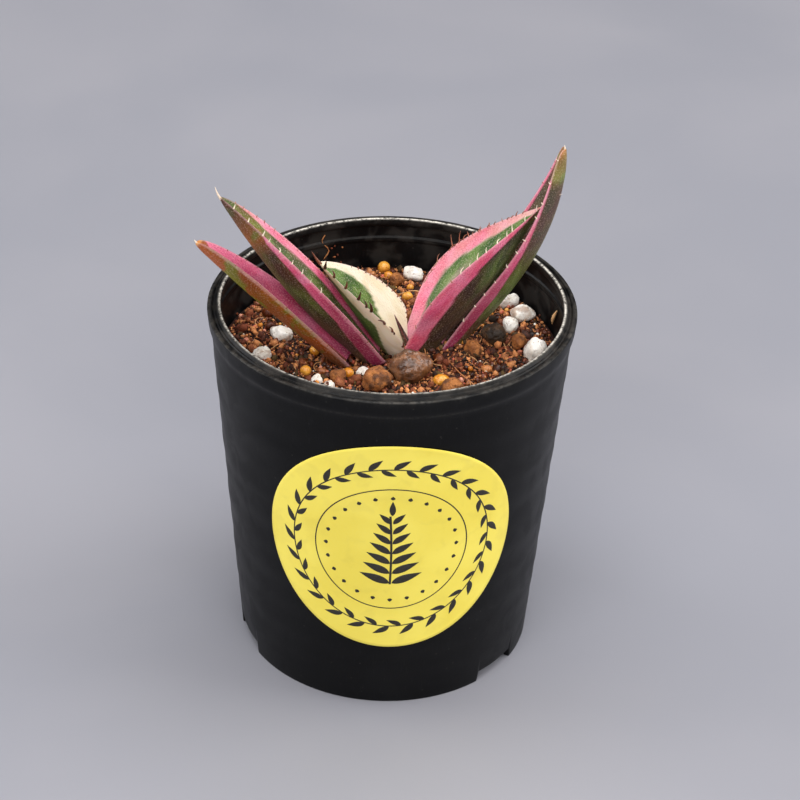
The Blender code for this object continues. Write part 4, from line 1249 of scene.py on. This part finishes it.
# %% Leaf material
leaf_finish, tree, shader = material("leaf_skin", specular_ior_level=0.45, subsurface_weight=0.06,
                                     subsurface_radius=(0.0012, 0.0006, 0.0004), subsurface_scale=1.0)
map_place = add_node(tree, "UVMap", uv_map="sheet").outputs["UV"]
stretched = add_node(tree, "Mapping", {"Vector": map_place, "Scale": (0.35, 1.0, 1.0)}).outputs["Vector"]
cells = effect(tree, grain_group, stretched, size=0.32, detail=2.0)
bloom = effect(tree, grain_group, map_place, size=0.38, detail=1.5)
powder = between(tree, bloom["Height"], 0.52, 0.66)
mottle = effect(tree, patch_group, stretched, size=2.6, cover=0.5, softness=0.4)
fleck = effect(tree, pit_group, map_place, size=1.5, width=0.2)
names = ("green", "blush", "amber", "dry", "edge_highlight_and_stripe")
green, blush, amber, dry, edge_highlight_and_stripe = (stored(tree, key) for key in names)
leaf_green = mixed(tree, mottle["Mask"], paint(48, 88, 27), paint(100, 132, 60))
cream = mixed(tree, mottle["Mask"], paint(232, 220, 184), paint(240, 232, 206))
pink = mixed(tree, mottle["Mask"], paint(220, 76, 120), paint(234, 112, 150))
sunned = effect(tree, patch_group, stretched, size=6.0, cover=0.45, softness=0.4)
pink = tinted(tree, pink, sunned["Mask"], 0.55, paint(214, 74, 92))
washed = effect(tree, patch_group, map_place, size=9.0, cover=0.4, softness=0.4)
pink = tinted(tree, pink, washed["Mask"], 0.5, paint(230, 152, 180))
brown = mixed(tree, mottle["Mask"], paint(40, 20, 12), paint(66, 50, 22))
# Blush above 0.95 deepens the pink to magenta, mostly at the leaves' feet: partly their own colour, partly
# painted shade near the crown
deep_magenta_and_shade = paint(134, 20, 66)
flesh = mixed(tree, between(tree, blush, 0.0, 0.85), cream, pink)
flesh = mixed(tree, between(tree, blush, 0.95, 1.45), flesh, deep_magenta_and_shade)
core = mixed(tree, between(tree, blush, 0.1, 0.8), leaf_green, brown)
olive = effect(tree, patch_group, map_place, size=7.0, cover=0.34, softness=0.15)
ochre = mixed(tree, olive["Mask"], paint(184, 88, 8), paint(140, 134, 8))
core = tinted(tree, core, amber, 0.85, ochre)
colour = mixed(tree, green, flesh, core)
colour = tinted(tree, colour, powder, 0.22, paint(236, 208, 200))
coloured = maths(tree, "MAXIMUM", green, between(tree, blush, 0.2, 0.8))
shaded = times(tree, between(tree, bloom["Height"], 0.46, 0.34), coloured)
colour = tinted(tree, colour, shaded, 0.30, paint(70, 20, 24))
# The margins' pale line is a painted highlight; on leaf_inner_right the same number also holds a pale stripe
colour = tinted(tree, colour, edge_highlight_and_stripe, 0.28, paint(240, 196, 196))
colour = tinted(tree, colour, fleck["Mask"], 0.2, paint(96, 52, 40))
straw = mixed(tree, mottle["Mask"], paint(206, 124, 50), paint(228, 184, 132))
colour = mixed(tree, dry, colour, straw)
height = maths(tree, "MULTIPLY_ADD", cells["Height"], 0.6, times(tree, bloom["Height"], 0.4))
shine = between(tree, bloom["Height"], 0.35, 0.65, 0.32, 0.5)
finish_surface(tree, shader, colour, shine, height, relief=0.26)

# %% Make the leaves
FACES_APART = 40
leaf_frames = {}
for name, leaf in LEAVES.items():
    foot_ring = leaf_points(leaf, share[:2], ACROSS, UNDER)[0]
    back = (foot_ring[:, 2].min() - crown_top - LEAF_GAP) / sin(radians(leaf.rise[0]))
    width = leaf_width(leaf, share)[:, None]
    grid = leaf_points(leaf, share, ACROSS, UNDER, back)
    line, along, side, normal = leaf_frame(leaf, share, back)
    streak = leaf_map(share, leaf.length * 0.5, width, 5)
    ripple = 0.10 * noise(streak, 5.0, 61) + 0.035 * noise(streak, 1.4, 62)
    bend = np.where(UNDER > 0, -1.0, 1.0) * np.sqrt(1 - ACROSS**2 + 0.02)
    body = step(width, 0.2, 2.0) * step(share[:, None], 0.0, 0.1)
    grid = grid + (ripple * bend * body)[..., None] * normal[:, None]
    points, faces = closed_surface(grid[:-1], grid[0].mean(0), line[-1])
    values = {key: np.append(value[:-1].ravel(), [value[0].mean(), value[-1].mean()])
              for key, value in pigments(name, share, leaf.length, width).items()}
    flat_map = leaf_map(share, leaf.length, width, FACES_APART)
    flat_map = np.stack([flat_map[..., 0], flat_map[..., 1] + flat_map[..., 2]], -1)[:-1].reshape(-1, 2)
    flat_map = np.concatenate([flat_map, flat_map[:1], flat_map[-1:]]) * MM
    leaf_frames[name] = (line, along, side, normal)
    slot = "spear_leaf" if name == "spear_leaf" else "leaf"
    add_piece(name + "_fine", points, faces, leaf_finish, slot, [name], values, flat_map)
    wanted = np.array(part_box(name)) / MM
    got = np.array([points.min(0), points.max(0)])
    print("  off the model's box by", np.round(np.abs(got - wanted).max(), 2), "mm")

# %% [markdown]
# ## Teeth and spines
#
# Agave margins are armed with small hooked teeth that point towards the tip, and each leaf ends in a
# needle. A tooth is a tapering tube along a bent path. On this plant the teeth are cream on the pink
# leaves, long and curled on one of them, and dry brown on the youngest leaf.

# %% Teeth
thorn_finish, tree, shader = material("thorns", specular_ior_level=0.5)
where = place_of(tree)
thorn_grain = effect(tree, grain_group, where, size=0.25, detail=3.0)
tone = stored(tree, "tone")
colour = mixed(tree, between(tree, tone, 0.0, 0.5), paint(58, 28, 16), paint(150, 84, 60))
colour = mixed(tree, between(tree, tone, 0.5, 0.85), colour, paint(238, 220, 196))
colour = tinted(tree, colour, thorn_grain["Mask"], 0.15, paint(120, 80, 60))
finish_surface(tree, shader, colour, between(tree, thorn_grain["Height"], 0.3, 0.7, 0.3, 0.45),
               thorn_grain["Height"], relief=0.03)

# For each leaf, rows of teeth: margin side, first and last share, how many, length, thickness, tone,
# curl towards the tip, and lean over the upper face
TEETH = {
    "leaf_outer_left": [(-1, 0.2, 0.8, 6, 0.6, 0.18, 0.55, 0.3, 0.8),
                        (1, 0.3, 0.85, 9, 0.6, 0.18, 0.4, 0.3, 0.2)],
    "leaf_middle_left": [(-1, 0.44, 0.92, 9, 1.5, 0.18, 0.95, 0.9, 0.8),
                         (-1, 0.08, 0.38, 7, 0.7, 0.16, 0.4, 0.7, 0.8),
                         (1, 0.35, 0.92, 17, 0.8, 0.16, 0.5, 0.8, 0.2)],
    "leaf_inner_left": [(-1, 0.30, 0.94, 8, 3.0, 0.42, 0.12, 1.9, 0.6),
                        (-1, 0.12, 0.24, 2, 1.6, 0.3, 0.15, 1.2, 0.6),
                        (1, 0.12, 0.75, 13, 1.1, 0.2, 0.25, 0.7, 0.1)],
    "leaf_inner_right": [(1, 0.50, 0.95, 9, 2.0, 0.15, 0.95, 1.4, 1.1),
                         (1, 0.1, 0.44, 5, 0.9, 0.16, 0.5, 0.8, 0.8),
                         (-1, 0.26, 0.60, 22, 3.2, 0.13, 0.55, 2.8, 0.3),
                         (-1, 0.62, 0.90, 12, 1.5, 0.15, 0.45, 2.0, -0.2)],
    "leaf_outer_right": [(1, 0.12, 0.52, 6, 1.1, 0.18, 0.95, 0.8, 0.6),
                         (1, 0.62, 0.96, 5, 1.1, 0.18, 0.9, 0.9, 0.6),
                         (-1, 0.5, 0.92, 8, 0.6, 0.15, 0.45, 0.8, 0.2)],
}
# For each leaf's end spine: length, thickness, tone, and its bend sideways and over the upper face
SPINES = {
    "leaf_outer_left": (0.8, 0.35, 0.9, (0.1, 0.3)),
    "leaf_middle_left": (2.6, 0.32, 0.75, (0.25, 0.5)),
    "leaf_inner_left": (3.4, 0.45, 0.25, (-0.15, 0.9)),
    "leaf_inner_right": (5.2, 0.3, 0.9, (0.12, -2.2)),
    "leaf_outer_right": (0.9, 0.3, 0.95, (0.0, 0.2)),
}
TOOTH_STEPS = 9
SPINE_SUNK = 0.8


def margin_teeth(name, rng, hand, first, last, count, length, thickness, shade, curl, lean):
    """Paths, radii and tones of one row of teeth. A tooth sets out from the margin, leaning from the
    blade's own slope towards its upper face, and turns to the tip by the curl as it goes."""
    leaf = LEAVES[name]
    at = np.linspace(first, last, count) + rng.uniform(-0.4, 0.4, count) * (last - first) / count
    at = np.sort(np.clip(at, 0.02, 0.97))
    base = leaf_points(leaf, at, np.full((1, 1), 0.99 * hand), np.full((1, 1), 0.3))[:, 0]
    _, along, side, normal = leaf_frame(leaf, at)
    slope = angle_at(leaf.gutter, at)[:, None]
    outward = hand * side * np.cos(slope) + normal * np.sin(slope)
    inward = -hand * side * np.sin(slope) + normal * np.cos(slope)
    leaning = lean + rng.uniform(-0.3, 0.3, (count, 1))
    outward = outward * np.cos(leaning) + inward * np.sin(leaning)
    size = length * rng.uniform(0.6, 1.2, (count, 1))
    t = np.linspace(0, 1, TOOTH_STEPS)[None, :]
    angle = curl * (rng.uniform(0.1, 0.6, (count, 1)) + rng.uniform(0.2, 1.0, (count, 1)) * t)
    sway = rng.uniform(-0.7, 0.7, (count, 1)) * t
    heading = outward[:, None] * np.cos(angle)[..., None] + along[:, None] * np.sin(angle)[..., None]
    heading = heading + normal[:, None] * sway[..., None]
    heading /= np.linalg.norm(heading, axis=-1, keepdims=True)
    path = base[:, None] + np.cumsum(heading, 1) * (size / TOOTH_STEPS)[..., None]
    path = path - heading[:, :1] * 0.3
    radii = thickness * np.minimum(size / length, 1.1) * (1 - t) ** 0.7 + 0.02
    return path, radii, np.clip(shade + rng.uniform(-0.15, 0.1, count), 0, 1)


for name, rows in TEETH.items():
    rng = np.random.default_rng(700 + len(name))
    made = [margin_teeth(name, rng, *row) for row in rows]
    line, along, side, normal = leaf_frames[name]
    length, thick, shade, (sideways, bend) = SPINES[name]
    t = np.linspace(0, 1, TOOTH_STEPS)[:, None]
    spine = line[-1] - along[-1] * SPINE_SUNK + along[-1] * (length + SPINE_SUNK) * t
    spine = spine + side[-1] * sideways * length * t**2 + normal[-1] * bend * t**2
    spine_radii = thick * (1 - t[:, 0]) ** 0.8 + 0.02
    made.append((spine[None], spine_radii[None], np.array([shade])))
    paths, radii, tones = (np.concatenate([row[i] for row in made]) for i in range(3))
    points, faces = tubes(paths, radii, sides=7)
    add_piece(name + "_teeth", points, faces, thorn_finish, "leaf",
              values={"tone": np.repeat(tones, len(points) // len(paths))})

# %% [markdown]
# ## Crown, and dirt on the wall
#
# The crown and its thick roots are buried, so the model's own solid serves, with a skin of pale
# brown cork. Above the mix, a few crumbs and one dry rootlet have stuck to the wall of the pot.

# %% Crown and wall dirt
crown_finish, tree, shader = material("crown_bark")
where = place_of(tree)
cork = effect(tree, grain_group, where, size=0.9, detail=5.0)
rings = effect(tree, patch_group, where, size=3.0, cover=0.4, softness=0.3)
colour = mixed(tree, cork["Mask"], paint(150, 112, 74), paint(196, 160, 118))
finish_surface(tree, shader, mixed(tree, rings["Mask"], colour, paint(112, 76, 46)),
               between(tree, cork["Height"], 0.3, 0.7, 0.6, 0.85), cork["Height"], relief=0.3)
refinish("crown_and_roots", crown_finish)


def on_inner_wall(bearing, z, off):
    """A point on the inside of the pot's wall, off it by a distance."""
    ring = wall_at(z) - WALL - off
    return np.stack([ring * np.cos(bearing), ring * np.sin(bearing), z + 0 * bearing], -1)


STUCK = 60
STUCK_TOGETHER = 30
TOGETHER_AT = radians(118)
rng = np.random.default_rng(120)
stuck_turn = np.concatenate([TOGETHER_AT + rng.normal(0, 0.12, STUCK_TOGETHER),
                             rng.uniform(0, 2 * pi, STUCK - STUCK_TOGETHER)])
crowding = np.where(np.arange(STUCK) < STUCK_TOGETHER, 1.0, 4.0)
stuck_level = MIX_LEVEL + 0.8 + 8.5 * rng.uniform(0, 1, STUCK) ** crowding
stuck_size = rng.uniform(0.2, 0.75, STUCK)
stuck = ICO[None] * (1 + 0.3 * rng.uniform(-1, 1, (STUCK, len(ICO), 1))) * stuck_size[:, None, None] / 2
stuck = turned(rng, stuck) + on_inner_wall(stuck_turn, stuck_level, 0.15)[:, None]
stuck_points, stuck_faces = repeated(stuck, [ICO_FACES])
add_piece("wall_crumbs", stuck_points, stuck_faces, crumb_finish, "potting_mix",
          values={"tone": np.repeat(rng.uniform(0.1, 0.7, STUCK), len(ICO))}, crease=0)

t = np.linspace(0, 1, 14)
rootlet = on_inner_wall(np.radians(115.0 + 1.2 * np.sin(7 * t)), 91.2 - 6.8 * t, 0.22)
dried = on_inner_wall(np.radians(15.0 + 2.6 * t), 87.2 - 5.0 * t, 0.3 + 0.35 * np.sin(pi * t))
paths = np.stack([rootlet, dried])
dried_radii = 0.42 * np.sin(pi * np.clip(t, 0.06, 0.94)) + 0.1 * np.sin(23 * t) ** 2
radii = np.stack([0.13 + 0.05 * np.sin(17 * t), dried_radii])
points, faces = tubes(paths, radii, sides=6)
add_piece("wall_rootlets", points, faces, thread_finish, "bark_chip",
          values={"tone": np.repeat([0.3, 1.0], len(points) // 2)})

# %% [markdown]
# ## The studio
#
# The table is a plain pale sheet. A large soft light hangs overhead and two more stand in front, so
# that upright faces are nearly as bright as the table and the shadows are faint. Two tall soft boxes
# stand at the sides: black plastic shows little but what it reflects, and they draw the pale edges
# of the pot.

# %% Table and lights
TABLE_HALF = 4.0
table_mesh = bpy.data.meshes.new("table")
corners = [(x * TABLE_HALF, y * TABLE_HALF, 0) for x, y in ((-1, -1), (1, -1), (1, 1), (-1, 1))]
table_mesh.from_pydata(corners, [], [(0, 1, 2, 3)])
table_material, tree, shader = material("table_top", specular_ior_level=0.3)
where = place_of(tree)
haze = effect(tree, patch_group, where, size=140.0, cover=0.5, softness=0.5)
colour = mixed(tree, haze["Mask"], paint(132, 132, 139), paint(137, 136, 142))
finish_surface(tree, shader, colour, between(tree, haze["Mask"], 0.0, 1.0, 0.55, 0.65))
table_mesh.materials.append(table_material)
table = bpy.data.objects.new("table", table_mesh)
bpy.context.scene.collection.objects.link(table)


POT_MIDDLE = Vector((0, 0, 0.05))


def soft_light(name, place, size, power, colour=(1.0, 1.0, 1.0)):
    """A rectangular light that faces the pot. place and size are in metres, power in watts."""
    lamp = bpy.data.lights.new(name, "AREA")
    lamp.shape = "RECTANGLE"
    lamp.size, lamp.size_y = size
    lamp.energy = power
    lamp.color = colour
    made = bpy.data.objects.new(name, lamp)
    made.location = place
    made.rotation_euler = (POT_MIDDLE - Vector(place)).to_track_quat("-Z", "Y").to_euler()
    bpy.context.scene.collection.objects.link(made)


soft_light("overhead", (0.1, 0.05, 1.3), (1.3, 1.3), 22)
soft_light("front_left", (-0.7, -1.4, 1.0), (1.1, 0.9), 17)
soft_light("front_right", (0.55, -1.5, 1.15), (1.1, 0.9), 13)
soft_light("left_box", (-1.5, 0.3, 0.7), (0.9, 1.4), 15, (0.95, 0.97, 1.0))
soft_light("right_box", (1.5, 0.1, 0.7), (1.1, 1.4), 20)
world = bpy.data.worlds.new("room")
world.use_nodes = True
room = world.node_tree.nodes["Background"].inputs
room["Color"].default_value = (0.86, 0.89, 1.0, 1.0)
room["Strength"].default_value = 0.10
bpy.context.scene.world = world
